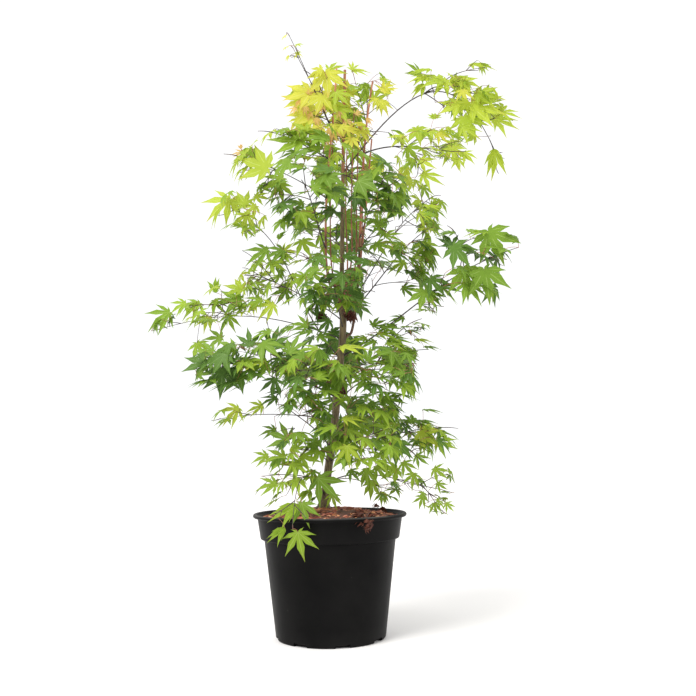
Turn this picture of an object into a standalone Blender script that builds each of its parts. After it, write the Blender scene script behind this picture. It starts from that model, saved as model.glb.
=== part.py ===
"""Young coral-bark maple in its black nursery pot.

A slim trunk leans out of bark mulch, forks into upright coral stems and carries
tiers of lobed leaves on thin boughs. Units are metres, +Z is up, -Y is the front,
and the origin is the centre of the pot's flat underside.
"""
import math
import random
from collections import namedtuple

import bmesh
import bpy
from mathutils import Matrix, Vector
from mathutils.bvhtree import BVHTree
from mathutils.geometry import interpolate_bezier

GAP = 0.0003
UP = Vector((0.0, 0.0, 1.0))
# A direction that no limb sets off along, to square the first ring against
SLANT = Vector((0.31, 0.87, 0.38))

# Pot: a ten litre round container
POT_HEIGHT = 0.220
POT_FOOT_RADIUS = 0.0990
POT_BODY_TOP_RADIUS = 0.1195
POT_COLLAR_FOOT_RADIUS = 0.1262
POT_COLLAR_TOP_RADIUS = 0.1320
POT_LIP_RADIUS = 0.1400
POT_COLLAR_DEPTH = 0.0440
POT_LIP_ROLL = 0.0035
POT_WALL = 0.0024
POT_FLOOR = 0.0030
POT_CORNER = 0.0040
POT_STEP_SLOPE = 0.0020
POT_LIP_ANGLES = (-60, 0, 60, 120, 180)
POT_SIDES = 36
DRAIN_COUNT = 8
DRAIN_TURN = 0.29
DRAIN_WIDTH = 0.026
DRAIN_HEIGHT = 0.0065
DRAIN_REACH = 0.011

# Mulch: heaped a little towards the trunk
SOIL_WALL_HEIGHT = 0.211
SOIL_TOP = 0.226
SOIL_FLAT_RADIUS = 0.046
SOIL_HEAP = 0.55
SOIL_SIDES = 32

# Trunk: half widths up its length
TRUNK_FOOT_RADIUS = 0.0078
TRUNK_FORK_RADIUS = 0.0062
TRUNK_LEADER_RADIUS = 0.0044
TRUNK_TOP_RADIUS = 0.0026
FLARE = 0.0070
FLARE_HEIGHT = 0.011
FORK_HEIGHT = 0.618
FORK_SWELL = 0.0020
FORK_SWELL_HEIGHT = 0.018
FORK_FADE = 0.030
TRUNK_SIDES = 8
TRUNK_STEPS = 2
TRUNK_LINE = [
    (-0.012, 0.020, SOIL_TOP + GAP),
    (-0.009, 0.020, 0.250),
    (-0.002, 0.018, 0.302),
    (0.009, 0.014, 0.370),
    (0.018, 0.008, 0.460),
    (0.028, 0.003, 0.556),
    (0.027, 0.000, 0.640),
    (0.029, 0.000, 0.740),
    (0.032, 0.002, 0.870),
    (0.038, 0.002, 1.066),
]

# Upright stems: where each leaves the trunk, as a share of its length, then its line
Stem = namedtuple("Stem", "name leave rise radius line")
STEM_SIDES = 6
STEM_STEPS = 2
STEM_TIP_SHARE = 0.62
STEM_ELBOW = 4.0
SEAT_POINTS = 5
SEAT_STEPS = 12
STEMS = [
    Stem("left_stem", 0.44, 50, 0.0036, [
        (0.000, -0.018, 0.665), (-0.002, -0.022, 0.740), (0.003, -0.022, 0.846),
        (0.015, -0.020, 0.965), (0.022, -0.018, 1.060)]),
    Stem("right_stem", 0.37, 50, 0.0036, [
        (0.056, 0.012, 0.632), (0.063, 0.016, 0.747), (0.068, 0.018, 0.845),
        (0.080, 0.020, 0.970), (0.092, 0.020, 1.050)]),
    Stem("back_stem", 0.41, 45, 0.0032, [
        (0.052, 0.050, 0.660), (0.070, 0.062, 0.750), (0.080, 0.064, 0.850),
        (0.090, 0.066, 0.950)]),
]

# Foliage: each mass hangs on a host limb. leave is the share of the host's length
# where its line sets off, rise and fall are that line's slopes in degrees at its two
# ends, bow is how far it arches, and a mass with no bough of its own starts its stem
# at the host. Centre and half are the middle and the half sizes of the mass's space.
Mass = namedtuple("Mass", "name host leave bough centre half rise fall bow leaves leaf tint")
MASSES = [
    Mass("gold_crown", "left_stem", 0.76, 0, (-0.008, 0.024, 1.026), (0.072, 0.062, 0.074),
         35, 20, 0.35, 9, 0.058, "gold"),
    Mass("leader_tip", "left_stem", 0.74, 1, (-0.060, -0.055, 1.103), (0.034, 0.030, 0.036),
         62, 55, 0.35, 5, 0.027, "gold"),
    Mass("middle_crown", "right_stem", 0.80, 0, (0.080, 0.050, 1.008), (0.066, 0.066, 0.090),
         40, 30, 0.35, 10, 0.058, "lime"),
    Mass("arch_fall", "trunk", 0.755, 1, (0.312, 0.070, 0.985), (0.080, 0.072, 0.098),
         52, -62, 0.60, 10, 0.068, "lime"),
    Mass("arch_top", "arch_fall", 0.55, 0, (0.212, 0.062, 1.062), (0.080, 0.062, 0.050),
         40, 10, 0.35, 7, 0.058, "lime"),
    Mass("upper_right", "right_stem", 0.72, 1, (0.198, 0.000, 0.905), (0.084, 0.068, 0.068),
         20, -10, 0.35, 10, 0.056, "lime"),
    Mass("upper_left", "left_stem", 0.62, 0, (-0.050, -0.052, 0.908), (0.076, 0.064, 0.044),
         20, 5, 0.35, 6, 0.060, "fresh"),
    Mass("outer_left", "left_stem", 0.46, 1, (-0.126, -0.076, 0.858), (0.056, 0.054, 0.048),
         30, 10, 0.35, 5, 0.060, "fresh"),
    Mass("mid_left", "trunk", 0.33, 1, (-0.172, -0.020, 0.779), (0.070, 0.062, 0.054),
         50, 25, 0.45, 8, 0.058, "lime"),
    Mass("dark_left", "left_stem", 0.26, 0, (-0.027, -0.118, 0.790), (0.074, 0.078, 0.076),
         25, 5, 0.35, 10, 0.068, "deep"),
    Mass("dark_right", "right_stem", 0.40, 0, (0.093, -0.118, 0.790), (0.060, 0.078, 0.074),
         25, 5, 0.35, 8, 0.068, "deep"),
    Mass("mid_right", "right_stem", 0.19, 1, (0.172, 0.066, 0.806), (0.062, 0.064, 0.080),
         55, 35, 0.40, 8, 0.060, "fresh"),
    Mass("far_right", "trunk", 0.335, 1, (0.262, -0.088, 0.660), (0.080, 0.074, 0.078),
         25, 15, 0.35, 9, 0.074, "deep"),
    Mass("inner_right", "right_stem", 0.14, 0, (0.132, -0.036, 0.696), (0.072, 0.070, 0.084),
         40, 30, 0.35, 9, 0.060, "mid"),
    Mass("shoot_left", "trunk", 0.415, 1, (-0.109, 0.022, 0.655), (0.062, 0.062, 0.074),
         40, 30, 0.35, 8, 0.055, "fresh"),
    Mass("far_left", "trunk", 0.375, 1, (-0.300, 0.060, 0.579), (0.050, 0.052, 0.050),
         22, -14, 0.40, 5, 0.058, "fresh"),
    Mass("low_left", "far_left", 0.62, 0, (-0.200, -0.014, 0.602), (0.074, 0.062, 0.064),
         15, -5, 0.35, 8, 0.058, "lime"),
    Mass("big_left", "trunk", 0.245, 1, (-0.147, -0.080, 0.492), (0.092, 0.080, 0.070),
         25, -8, 0.35, 11, 0.074, "deep"),
    Mass("centre", "trunk", 0.40, 0, (0.014, -0.100, 0.630), (0.070, 0.078, 0.058),
         20, 0, 0.35, 7, 0.064, "deep"),
    Mass("front_left", "trunk", 0.22, 0, (-0.020, -0.128, 0.474), (0.068, 0.078, 0.066),
         25, 0, 0.35, 8, 0.066, "mid"),
    Mass("front_right", "trunk", 0.235, 0, (0.102, -0.124, 0.474), (0.068, 0.076, 0.064),
         25, 0, 0.35, 8, 0.066, "mid"),
    Mass("right_tier", "trunk", 0.28, 1, (0.152, 0.034, 0.522), (0.066, 0.070, 0.068),
         25, 0, 0.35, 8, 0.062, "mid"),
    Mass("bare_left", "trunk", 0.195, 1, (-0.178, 0.050, 0.400), (0.052, 0.046, 0.036),
         10, -8, 0.35, 4, 0.052, "lime"),
    Mass("low_front_left", "trunk", 0.13, 0, (-0.052, -0.098, 0.392), (0.068, 0.074, 0.062),
         35, 20, 0.35, 9, 0.062, "fresh"),
    Mass("low_front_right", "trunk", 0.10, 0, (0.066, -0.098, 0.356), (0.066, 0.074, 0.078),
         25, 10, 0.35, 10, 0.064, "mid"),
    Mass("right_low", "trunk", 0.105, 1, (0.172, 0.004, 0.372), (0.070, 0.070, 0.058),
         25, 0, 0.35, 8, 0.056, "mid"),
    Mass("right_foot", "trunk", 0.055, 1, (0.167, 0.040, 0.264), (0.070, 0.066, 0.056),
         25, -10, 0.35, 9, 0.046, "fresh"),
    Mass("left_foot", "trunk", 0.045, 0, (-0.074, -0.062, 0.290), (0.062, 0.066, 0.058),
         30, 5, 0.35, 9, 0.056, "fresh"),
    Mass("rim_spray", "trunk", 0.028, 1, (-0.056, -0.170, 0.208), (0.046, 0.032, 0.056),
         25, -78, 0.55, 4, 0.048, "lime"),
    Mass("back_top", "back_stem", 0.74, 0, (0.040, 0.132, 0.930), (0.078, 0.074, 0.066),
         30, 5, 0.35, 7, 0.066, "fresh"),
    Mass("back_upper", "back_stem", 0.36, 0, (0.000, 0.150, 0.794), (0.084, 0.082, 0.072),
         30, 5, 0.35, 8, 0.072, "mid"),
    Mass("back_middle", "back_stem", 0.10, 0, (0.080, 0.152, 0.664), (0.078, 0.084, 0.064),
         25, 0, 0.35, 8, 0.068, "mid"),
    Mass("back_low", "trunk", 0.27, 0, (-0.020, 0.158, 0.532), (0.092, 0.086, 0.068),
         25, 0, 0.35, 8, 0.072, "deep"),
    Mass("back_foot", "trunk", 0.13, 0, (0.058, 0.142, 0.394), (0.088, 0.080, 0.066),
         25, 0, 0.35, 7, 0.066, "mid"),
]

# Boughs, stems and twigs inside the masses
LINE_STEPS = 10
BOUGH_RADIUS = 0.0030
BOUGH_TIP_RADIUS = 0.0022
BOUGH_SIDES = 5
SPACE_POWER = 4
ENTRY_SHARE = 0.86
TIP_SHARE = 0.60
INNER_TIP_RADIUS = 0.0017
INNER_SIDES = 4
TWIG_RADIUS = 0.0018
TWIG_TIP_RADIUS = 0.0014
TWIG_SIDES = 3
TWIG_SPREAD = 55.0
TWIG_SPREAD_RANGE = 12.0
TWIG_WANDER = 0.15
TWIG_REACH = 0.50
TWIG_FIRST = 0.30
TWIG_RUN = 0.60
TWIG_STAGGER = 0.05
LEAVES_PER_PAIR = 7
CLEARANCE = 0.0008
GROW_TRIES = 8
TOUCHING = 0.000002
SEED = "maple"

# Leaf: lobes and notches as angles in degrees and shares of the leaf's length
LEAF_OUTLINE = [
    (-158, 0.11), (-102, 0.58), (-74, 0.33), (-48, 0.88), (-24, 0.39), (0, 1.00),
    (24, 0.39), (48, 0.88), (74, 0.33), (102, 0.58), (158, 0.11),
]
LEAF_CORNERS = [Vector((share * math.cos(math.radians(degrees)),
                        share * math.sin(math.radians(degrees)), 0.0))
                for degrees, share in LEAF_OUTLINE]
LEAF_THICKNESS = 0.030
LEAF_TRIES = 3000
LEAF_SHRINK = 0.25
LEAF_SIZES = (0.85, 1.10)
LEAF_PLACES = (0.30, 0.97)
LEAF_ROOM = 0.75
LEAF_MIDDLE = 0.40
TIP_TRIES = 60
TIP_PLACE = 0.99
STALK_LENGTHS = (0.25, 0.65)
STALK_FORWARD = (0.2, 1.0)
STALK_RISE = 0.20
STALK_WANDER = 0.90
STALK_RADIUS = 0.0006
STALK_SIDES = 3
BLADE_TILTS = (40, 82)
BLADE_OUTWARD = 0.35
BLADE_WANDER = 0.30
BLADE_AHEAD = 0.50
BLADE_TURN = 0.80
BLADE_OPENING = 0.10

# Colours are linear red, green and blue
FINISHES = {
    "pot": ((0.012, 0.012, 0.013), 0.42),
    "mulch": ((0.110, 0.048, 0.028), 0.90),
    "bark": ((0.150, 0.095, 0.045), 0.70),
    "coral_bark": ((0.340, 0.115, 0.050), 0.60),
    "leaf_gold": ((0.620, 0.520, 0.060), 0.50),
    "leaf_lime": ((0.330, 0.430, 0.035), 0.50),
    "leaf_fresh": ((0.170, 0.310, 0.035), 0.50),
    "leaf_mid": ((0.085, 0.205, 0.030), 0.50),
    "leaf_deep": ((0.035, 0.120, 0.025), 0.50),
}


def finish(name):
    """The named material, made the first time it is asked for."""
    made = bpy.data.materials.get(name)
    if made:
        return made
    colour, roughness = FINISHES[name]
    made = bpy.data.materials.new(name)
    made.use_nodes = True
    shader = made.node_tree.nodes["Principled BSDF"]
    shader.inputs["Base Color"].default_value = (*colour, 1.0)
    shader.inputs["Roughness"].default_value = roughness
    shader.inputs["Metallic"].default_value = 0.0
    return made


def as_object(name, bm, material=None, collection=None):
    """Turns the bmesh into a named object, faces outward."""
    bmesh.ops.recalc_face_normals(bm, faces=bm.faces)
    mesh = bpy.data.meshes.new(name)
    bm.to_mesh(mesh)
    bm.free()
    made = bpy.data.objects.new(name, mesh)
    if material:
        mesh.materials.append(finish(material))
    (collection or bpy.context.scene.collection).objects.link(made)
    return made


def shade_round(part, angle=40.0):
    part.data.shade_smooth()
    part.data.set_sharp_from_angle(angle=math.radians(angle))


def turned(name, profile, sides, material):
    """A closed turned solid: its half profile starts and ends on the Z axis."""
    bm = bmesh.new()
    corners = [bm.verts.new((radius, 0.0, height)) for radius, height in profile]
    for start, end in zip(corners, corners[1:]):
        bm.edges.new((start, end))
    bmesh.ops.spin(bm, geom=bm.verts[:] + bm.edges[:], cent=(0, 0, 0), axis=(0, 0, 1),
                   angle=math.tau, steps=sides, use_merge=True)
    bmesh.ops.remove_doubles(bm, verts=bm.verts, dist=0.00001)
    return as_object(name, bm, material)


def make_pot():
    """Thin-walled pot: tapered body, stepped collar, rolled lip and drain slots."""
    step = POT_HEIGHT - POT_COLLAR_DEPTH
    lip_height = POT_HEIGHT - POT_LIP_ROLL
    lip_middle = POT_LIP_RADIUS - POT_LIP_ROLL
    corner = POT_CORNER * math.cos(math.radians(45))
    taper = (POT_BODY_TOP_RADIUS - POT_FOOT_RADIUS) / step
    outside = [
        (0.0, 0.0),
        (POT_FOOT_RADIUS - POT_CORNER, 0.0),
        (POT_FOOT_RADIUS - POT_CORNER + corner, POT_CORNER - corner),
        (POT_FOOT_RADIUS + POT_CORNER * taper, POT_CORNER),
        (POT_BODY_TOP_RADIUS, step - POT_STEP_SLOPE),
        (POT_COLLAR_FOOT_RADIUS, step),
        (POT_COLLAR_TOP_RADIUS, lip_height - POT_LIP_ROLL),
    ]
    lip = []
    for degrees in POT_LIP_ANGLES:
        turn = math.radians(degrees)
        lip.append((lip_middle + POT_LIP_ROLL * math.cos(turn),
                    lip_height + POT_LIP_ROLL * math.sin(turn)))
    inside = [
        (POT_COLLAR_TOP_RADIUS - POT_WALL, lip_height - POT_LIP_ROLL),
        (POT_COLLAR_FOOT_RADIUS - POT_WALL, step + POT_WALL),
        (POT_BODY_TOP_RADIUS - POT_WALL, step - POT_STEP_SLOPE + POT_WALL),
        (POT_FOOT_RADIUS - POT_WALL, POT_FLOOR),
        (0.0, POT_FLOOR),
    ]
    pot = turned("pot", outside + lip + inside, POT_SIDES, "pot")
    shade_round(pot, 30.0)

    bm = bmesh.new()
    for index in range(DRAIN_COUNT):
        turn = Matrix.Rotation(math.tau * (index + DRAIN_TURN) / DRAIN_COUNT, 4, "Z")
        slot = Matrix.Diagonal((2 * DRAIN_REACH, DRAIN_WIDTH, 2 * DRAIN_HEIGHT, 1.0))
        bmesh.ops.create_cube(
            bm, size=1.0, matrix=turn @ Matrix.Translation((POT_FOOT_RADIUS, 0, 0)) @ slot)
    cutter = as_object("drain_cutter", bm)
    cutter.hide_render = True
    cutter.display_type = "WIRE"
    slots = pot.modifiers.new("drain slots", "BOOLEAN")
    slots.operation = "DIFFERENCE"
    slots.object = cutter
    return pot


def make_soil():
    """Mulch that fills the pot, with a flat place for the trunk to stand on."""
    step = POT_HEIGHT - POT_COLLAR_DEPTH
    inner = POT_WALL + GAP
    collar_slope = ((POT_COLLAR_TOP_RADIUS - POT_COLLAR_FOOT_RADIUS)
                    / (POT_COLLAR_DEPTH - 2 * POT_LIP_ROLL))
    wall_radius = (POT_COLLAR_FOOT_RADIUS - 2 * inner
                   + collar_slope * (SOIL_WALL_HEIGHT - step))
    profile = [
        (0.0, POT_FLOOR + GAP),
        (POT_FOOT_RADIUS - 2 * inner, POT_FLOOR + GAP),
        (POT_BODY_TOP_RADIUS - 2 * inner, step - POT_STEP_SLOPE + POT_WALL),
        (POT_COLLAR_FOOT_RADIUS - 2 * inner, step + POT_WALL + 3 * GAP),
        (wall_radius, SOIL_WALL_HEIGHT),
        (0.5 * (wall_radius + SOIL_FLAT_RADIUS),
         SOIL_WALL_HEIGHT + SOIL_HEAP * (SOIL_TOP - SOIL_WALL_HEIGHT)),
        (SOIL_FLAT_RADIUS, SOIL_TOP),
        (0.0, SOIL_TOP),
    ]
    soil = turned("soil", profile, SOIL_SIDES, "mulch")
    shade_round(soil, 30.0)
    return soil


def ring_edges(ring):
    """The edges around a new circle, each once and always in the same order."""
    return list(dict.fromkeys(edge for vert in ring["verts"] for edge in vert.link_edges))


class Limb:
    """A tapering round limb: its line, its half widths and its sides."""

    def __init__(self, name, line, radii, sides):
        self.name = name
        self.line = [Vector(point) for point in line]
        self.radii = list(radii)
        self.sides = sides

    def place(self, share):
        """The point, direction and half width at a share of the limb's length."""
        runs = [(end - start).length for start, end in zip(self.line, self.line[1:])]
        left = share * sum(runs)
        for index, run in enumerate(runs):
            if left <= run or index == len(runs) - 1:
                part = min(left / run, 1.0)
                start, end = self.line[index], self.line[index + 1]
                radius = self.radii[index] * (1 - part) + self.radii[index + 1] * part
                return start.lerp(end, part), (end - start).normalized(), radius
            left -= run

    def mesh(self, bm, extra=0.0):
        """Adds the limb, rings bridged and capped, and gives its first ring's corners."""
        rings = []
        corners = []
        last = len(self.line) - 1
        across = self.line[1] - self.line[0]
        across = across.cross(SLANT).normalized()
        for index, point in enumerate(self.line):
            along = self.line[min(index + 1, last)] - self.line[max(index - 1, 0)]
            along.normalize()
            if index == 0 and self.name == "trunk":
                along = UP.copy()
            across = (across - along * across.dot(along)).normalized()
            turn = Matrix((across, along.cross(across), along)).transposed().to_4x4()
            ring = bmesh.ops.create_circle(
                bm, cap_ends=index in (0, last), segments=self.sides,
                radius=self.radii[index] + extra, matrix=Matrix.Translation(point) @ turn)
            rings.append(ring_edges(ring))
            if index == 0:
                corners = [vert.co.copy() for vert in ring["verts"]]
        for lower, upper in zip(rings, rings[1:]):
            bmesh.ops.bridge_loops(bm, edges=lower + upper)
        if self.sides < STEM_SIDES:
            bmesh.ops.triangulate(bm, faces=bm.faces)
        return corners


def smooth_line(points, steps):
    """Points along a smooth curve through the given ones."""
    points = [Vector(point) for point in points]
    padded = [points[0]] + points + [points[-1]]
    line = [points[0]]
    for before, start, end, after in zip(padded, padded[1:], padded[2:], padded[3:]):
        line += interpolate_bezier(start, start + (end - before) / 6,
                                   end - (after - start) / 6, end, steps + 1)[1:]
    return line


def trunk_limb():
    """The trunk: flared foot, slow taper to the swollen fork, then the slim leader."""
    line = smooth_line(TRUNK_LINE, TRUNK_STEPS)
    radii = []
    for point in line:
        low = (point.z - SOIL_TOP) / (FORK_HEIGHT - SOIL_TOP)
        high = (point.z - FORK_HEIGHT) / (line[-1].z - FORK_HEIGHT)
        below = TRUNK_FOOT_RADIUS + (TRUNK_FORK_RADIUS - TRUNK_FOOT_RADIUS) * low
        above = TRUNK_LEADER_RADIUS + (TRUNK_TOP_RADIUS - TRUNK_LEADER_RADIUS) * high
        change = 0.5 + 0.5 * math.tanh((point.z - FORK_HEIGHT) / FORK_FADE)
        flare = FLARE * math.exp(-(point.z - SOIL_TOP) / FLARE_HEIGHT)
        swell = FORK_SWELL * math.exp(-((point.z - FORK_HEIGHT) / FORK_SWELL_HEIGHT) ** 2)
        radii.append(below * (1 - change) + above * change + flare + swell)
    return Limb("trunk", line, radii, TRUNK_SIDES)


def clear_start(host, leave, towards, rise, radius):
    """Where a limb sets off from its host, its end just clear of the host's side."""
    point, along, host_radius = host.place(leave)
    level = Vector((towards.x - point.x, towards.y - point.y, 0.0)).normalized()
    departure = level * math.cos(math.radians(rise)) + UP * math.sin(math.radians(rise))
    angle = departure.angle(along)
    distance = (host_radius + GAP + radius * abs(math.cos(angle))) / math.sin(angle)
    return point + departure * distance, departure


def solid_tree(limbs, extra):
    """A search tree of limbs made thicker by the clearance."""
    bm = bmesh.new()
    for limb in limbs:
        limb.mesh(bm, extra)
    tree = BVHTree.FromBMesh(bm)
    bm.free()
    return tree


def seat(limb, host):
    """Slides the limb's end along its own line until it is one gap from its host."""
    tree = solid_tree([host], 0.0)
    bm = bmesh.new()
    corners = limb.mesh(bm)
    bm.free()
    rim = [start.lerp(end, part / SEAT_POINTS) for part in range(SEAT_POINTS)
           for start, end in zip(corners, corners[1:] + corners[:1])]
    back = (limb.line[0] - limb.line[1]).normalized()
    slide = 0.0
    for _ in range(SEAT_STEPS):
        slide += min(tree.find_nearest(point + back * slide)[3] for point in rim) - GAP
    limb.line[0] = limb.line[0] + back * slide
    return limb


def stem_limb(stem, trunk):
    start, departure = clear_start(trunk, stem.leave, Vector(stem.line[0]), stem.rise,
                                   stem.radius)
    elbow = start + departure * STEM_ELBOW * stem.radius
    line = smooth_line([start, elbow] + stem.line, STEM_STEPS)
    last = len(line) - 1
    radii = [stem.radius * (1 - (1 - STEM_TIP_SHARE) * index / last)
             for index in range(last + 1)]
    return seat(Limb(stem.name, line, radii, STEM_SIDES), trunk)


def reach(mass, direction):
    """How far the mass's rounded box reaches from its centre in a direction."""
    total = sum(abs(part / half) ** SPACE_POWER for part, half in zip(direction, mass.half))
    return total ** (-1 / SPACE_POWER)


def support(mass, direction):
    """How far the mass's rounded box goes past its centre, measured along a direction."""
    power = SPACE_POWER / (SPACE_POWER - 1)
    total = sum(abs(part * half) ** power for part, half in zip(direction, mass.half))
    return total ** (1 / power)


def mass_lines(mass, host):
    """The limb that carries a mass: its bough, if it has one, and its inner stem."""
    centre = Vector(mass.centre)
    start, along = clear_start(host, mass.leave, centre, mass.rise, BOUGH_RADIUS)
    level = Vector((centre.x - start.x, centre.y - start.y, 0.0)).normalized()
    arrival = level * math.cos(math.radians(mass.fall)) + UP * math.sin(math.radians(mass.fall))
    tip = centre + arrival * reach(mass, arrival) * TIP_SHARE
    handle = (tip - start).length * mass.bow
    line = interpolate_bezier(start, start + along * handle, tip - arrival * handle, tip,
                              LINE_STEPS)
    bough = None
    entry = 0
    if mass.bough:
        while ENTRY_SHARE * reach(mass, line[entry] - centre) < 1.0:
            entry += 1
        radii = [BOUGH_RADIUS + (BOUGH_TIP_RADIUS - BOUGH_RADIUS) * index / entry
                 for index in range(entry + 1)]
        bough = seat(Limb("bough_" + mass.name, line[:entry + 1], radii, BOUGH_SIDES), host)
        along = (line[entry] - line[entry - 1]).normalized()
        start = line[entry] + along * GAP
    step = (tip - start).length / 3
    inner = [start, start + along * step, line[(entry + 2 * LINE_STEPS) // 3], tip]
    last = len(inner) - 1
    radii = [BOUGH_TIP_RADIUS + (INNER_TIP_RADIUS - BOUGH_TIP_RADIUS) * index / last
             for index in range(last + 1)]
    stem = Limb("stem_" + mass.name, inner, radii, INNER_SIDES)
    return bough, stem if bough else seat(stem, host)


def space_walls(mass):
    """Flat walls that keep a mass's space apart from each other one's."""
    walls = []
    centre = Vector(mass.centre)
    for other in MASSES:
        if other.name == mass.name:
            continue
        apart = Vector(other.centre) - centre
        way = apart.normalized()
        share = support(mass, way) / (support(mass, way) + support(other, way))
        walls.append((way, centre.dot(way) + apart.length * share - GAP))
    return walls


def inside(mass, walls, corners):
    """True where all the corners lie in the mass's own space."""
    for corner in corners:
        offset = [part - middle for part, middle in zip(corner, mass.centre)]
        if sum((part / half) ** SPACE_POWER for part, half in zip(offset, mass.half)) > 1.0:
            return False
        if any(corner.dot(way) > limit for way, limit in walls):
            return False
    return True


def clear_of(trees, bm):
    own = BVHTree.FromBMesh(bm)
    return not any(own.overlap(tree) for tree in trees)


def tangled(bm):
    """True where faces that share no corner cross each other."""
    bm.faces.ensure_lookup_table()
    own = BVHTree.FromBMesh(bm)
    for one, two in own.overlap(own):
        if one < two and not set(bm.faces[one].verts) & set(bm.faces[two].verts):
            return True
    return False


def leaf_mesh(length, turn, root=None):
    """One closed leaf: lobed blade, peaked at its base, drawn out into its stalk."""
    bm = bmesh.new()
    ring = [bm.verts.new(corner * length) for corner in LEAF_CORNERS]
    poked = bmesh.ops.poke(bm, faces=[bm.faces.new(ring)])
    poked["verts"][0].co = (0.0, 0.0, 0.5 * LEAF_THICKNESS * length)
    heel = [edge for edge in bm.edges if ring[0] in edge.verts and ring[-1] in edge.verts]
    bmesh.ops.delete(bm, geom=heel, context="EDGES")
    bmesh.ops.mirror(bm, geom=bm.verts[:] + bm.edges[:] + bm.faces[:], axis="Z",
                     merge_dist=0.00001)
    bmesh.ops.transform(bm, matrix=turn, verts=bm.verts)
    if root is None:
        return bm
    mouth = [edge for edge in bm.edges if edge.is_boundary]
    along = (turn.translation - root).normalized()
    square = along.to_track_quat("Z", "Y").to_matrix().to_4x4()
    foot = bmesh.ops.create_circle(bm, cap_ends=True, segments=STALK_SIDES, radius=STALK_RADIUS,
                                   matrix=Matrix.Translation(root) @ square)
    bmesh.ops.bridge_loops(bm, edges=mouth + ring_edges(foot))
    bmesh.ops.triangulate(bm, faces=bm.faces)
    return bm


def wander(rng, amount):
    return Vector([rng.uniform(-amount, amount) for _ in range(3)])


def level_way(vector):
    return Vector((vector.x, vector.y, 0.0)).normalized()


def leaf_place(rng, mass, limb, share, length):
    """A stalk from a twig, and a blade at its end that faces out and hangs down."""
    root, along, _ = limb.place(share)
    stalk = along * rng.uniform(*STALK_FORWARD) + UP * STALK_RISE
    stalk = (stalk + wander(rng, STALK_WANDER)).normalized()
    base = root + stalk * length * rng.uniform(*STALK_LENGTHS)
    outward = level_way(base - Vector(mass.centre)) + level_way(base) * BLADE_OUTWARD
    outward = level_way(outward + wander(rng, BLADE_WANDER))
    tilt = math.radians(rng.uniform(*BLADE_TILTS))
    normal = UP * math.cos(tilt) + outward * math.sin(tilt)
    ahead = (outward - UP + stalk) * BLADE_AHEAD + wander(rng, BLADE_TURN)
    ahead = (ahead - normal * ahead.dot(normal)).normalized()
    turn = (Matrix.Translation(base)
            @ Matrix((ahead, normal.cross(ahead), normal)).transposed().to_4x4())
    return root, turn, ahead.dot(stalk) > BLADE_OPENING


def side_ways(along, index):
    """The two opposite sides of a twig where a pair sits, turning a quarter each time."""
    flat = along.cross(UP)
    flat = flat.normalized() if flat.length > 0.01 else Vector((1.0, 0.0, 0.0))
    side = flat if index % 2 == 0 else flat.cross(along).normalized()
    return side, -side


def grow_twigs(mass, stem, rng, walls, trees):
    """Pairs of twigs from the stem, opposite and turning a quarter at each node."""
    twigs = []
    grown = []
    pairs = max(1, round(mass.leaves / LEAVES_PER_PAIR))
    for index in range(pairs):
        for turn in (0, 1):
            base, along, _ = stem.place(TWIG_FIRST + TWIG_RUN * index / pairs
                                        + turn * TWIG_STAGGER)
            side = side_ways(along, index)[turn]
            spread = math.radians(TWIG_SPREAD + rng.uniform(-1, 1) * TWIG_SPREAD_RANGE)
            way = along * math.cos(spread) + side * math.sin(spread) + wander(rng, TWIG_WANDER)
            tip = base + way.normalized() * reach(mass, way.normalized()) * TWIG_REACH
            if not inside(mass, walls, [tip]):
                continue
            twig = Limb("twig", [base, tip], [TWIG_RADIUS, TWIG_TIP_RADIUS], TWIG_SIDES)
            bm = bmesh.new()
            twig.mesh(bm)
            if clear_of(trees + grown, bm):
                twigs.append(twig)
                grown.append(BVHTree.FromBMesh(bm))
            bm.free()
    return twigs


def grow_leaves(mass, stem, twigs, rng, walls, trees, sprigs):
    """Leaves on the stem and twigs, each touching only the twig that it grows from."""
    limbs = [stem] + twigs
    limb_trees = [solid_tree([limb], 0.0) for limb in limbs]
    grown = []
    middles = []
    for attempt in range(LEAF_TRIES):
        if len(grown) == mass.leaves:
            break
        index, share = rng.randrange(len(limbs)), rng.uniform(*LEAF_PLACES)
        if attempt < TIP_TRIES and not grown:
            index, share = 0, TIP_PLACE
        spent = attempt / LEAF_TRIES
        length = mass.leaf * rng.uniform(*LEAF_SIZES) * (1.0 - LEAF_SHRINK * spent)
        root, turn, open_angle = leaf_place(rng, mass, limbs[index], share, length)
        corners = [turn @ (corner * length) for corner in LEAF_CORNERS]
        if not open_angle or not inside(mass, walls, corners):
            continue
        middle = turn @ Vector((LEAF_MIDDLE * length, 0.0, 0.0))
        room = LEAF_ROOM * length * (1.0 - spent)
        if any((middle - other).length < room for other in middles):
            continue
        bm = leaf_mesh(length, turn, root)
        blade = leaf_mesh(length, turn)
        others = [tree for place, tree in enumerate(limb_trees) if place != index]
        if (clear_of(trees + others + grown, bm)
                and clear_of([limb_trees[index]], blade) and not tangled(bm)):
            grown.append(BVHTree.FromBMesh(bm))
            middles.append(middle)
            as_object("leaf", bm, collection=sprigs)
        else:
            bm.free()
        blade.free()
    return len(grown)


def fused_mass(mass, stem, sprigs):
    """The stem with its twigs and leaves joined to it in one union."""
    bm = bmesh.new()
    stem.mesh(bm)
    part = as_object("foliage_" + mass.name, bm, "leaf_" + mass.tint)
    fuse = part.modifiers.new("fuse", "BOOLEAN")
    fuse.operation = "UNION"
    fuse.operand_type = "COLLECTION"
    fuse.collection = sprigs
    fuse.solver = "MANIFOLD"
    bpy.context.view_layer.update()
    seen = part.evaluated_get(bpy.context.evaluated_depsgraph_get())
    fused = bpy.data.meshes.new_from_object(seen)
    part.modifiers.clear()
    part.data = fused
    return part


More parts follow.
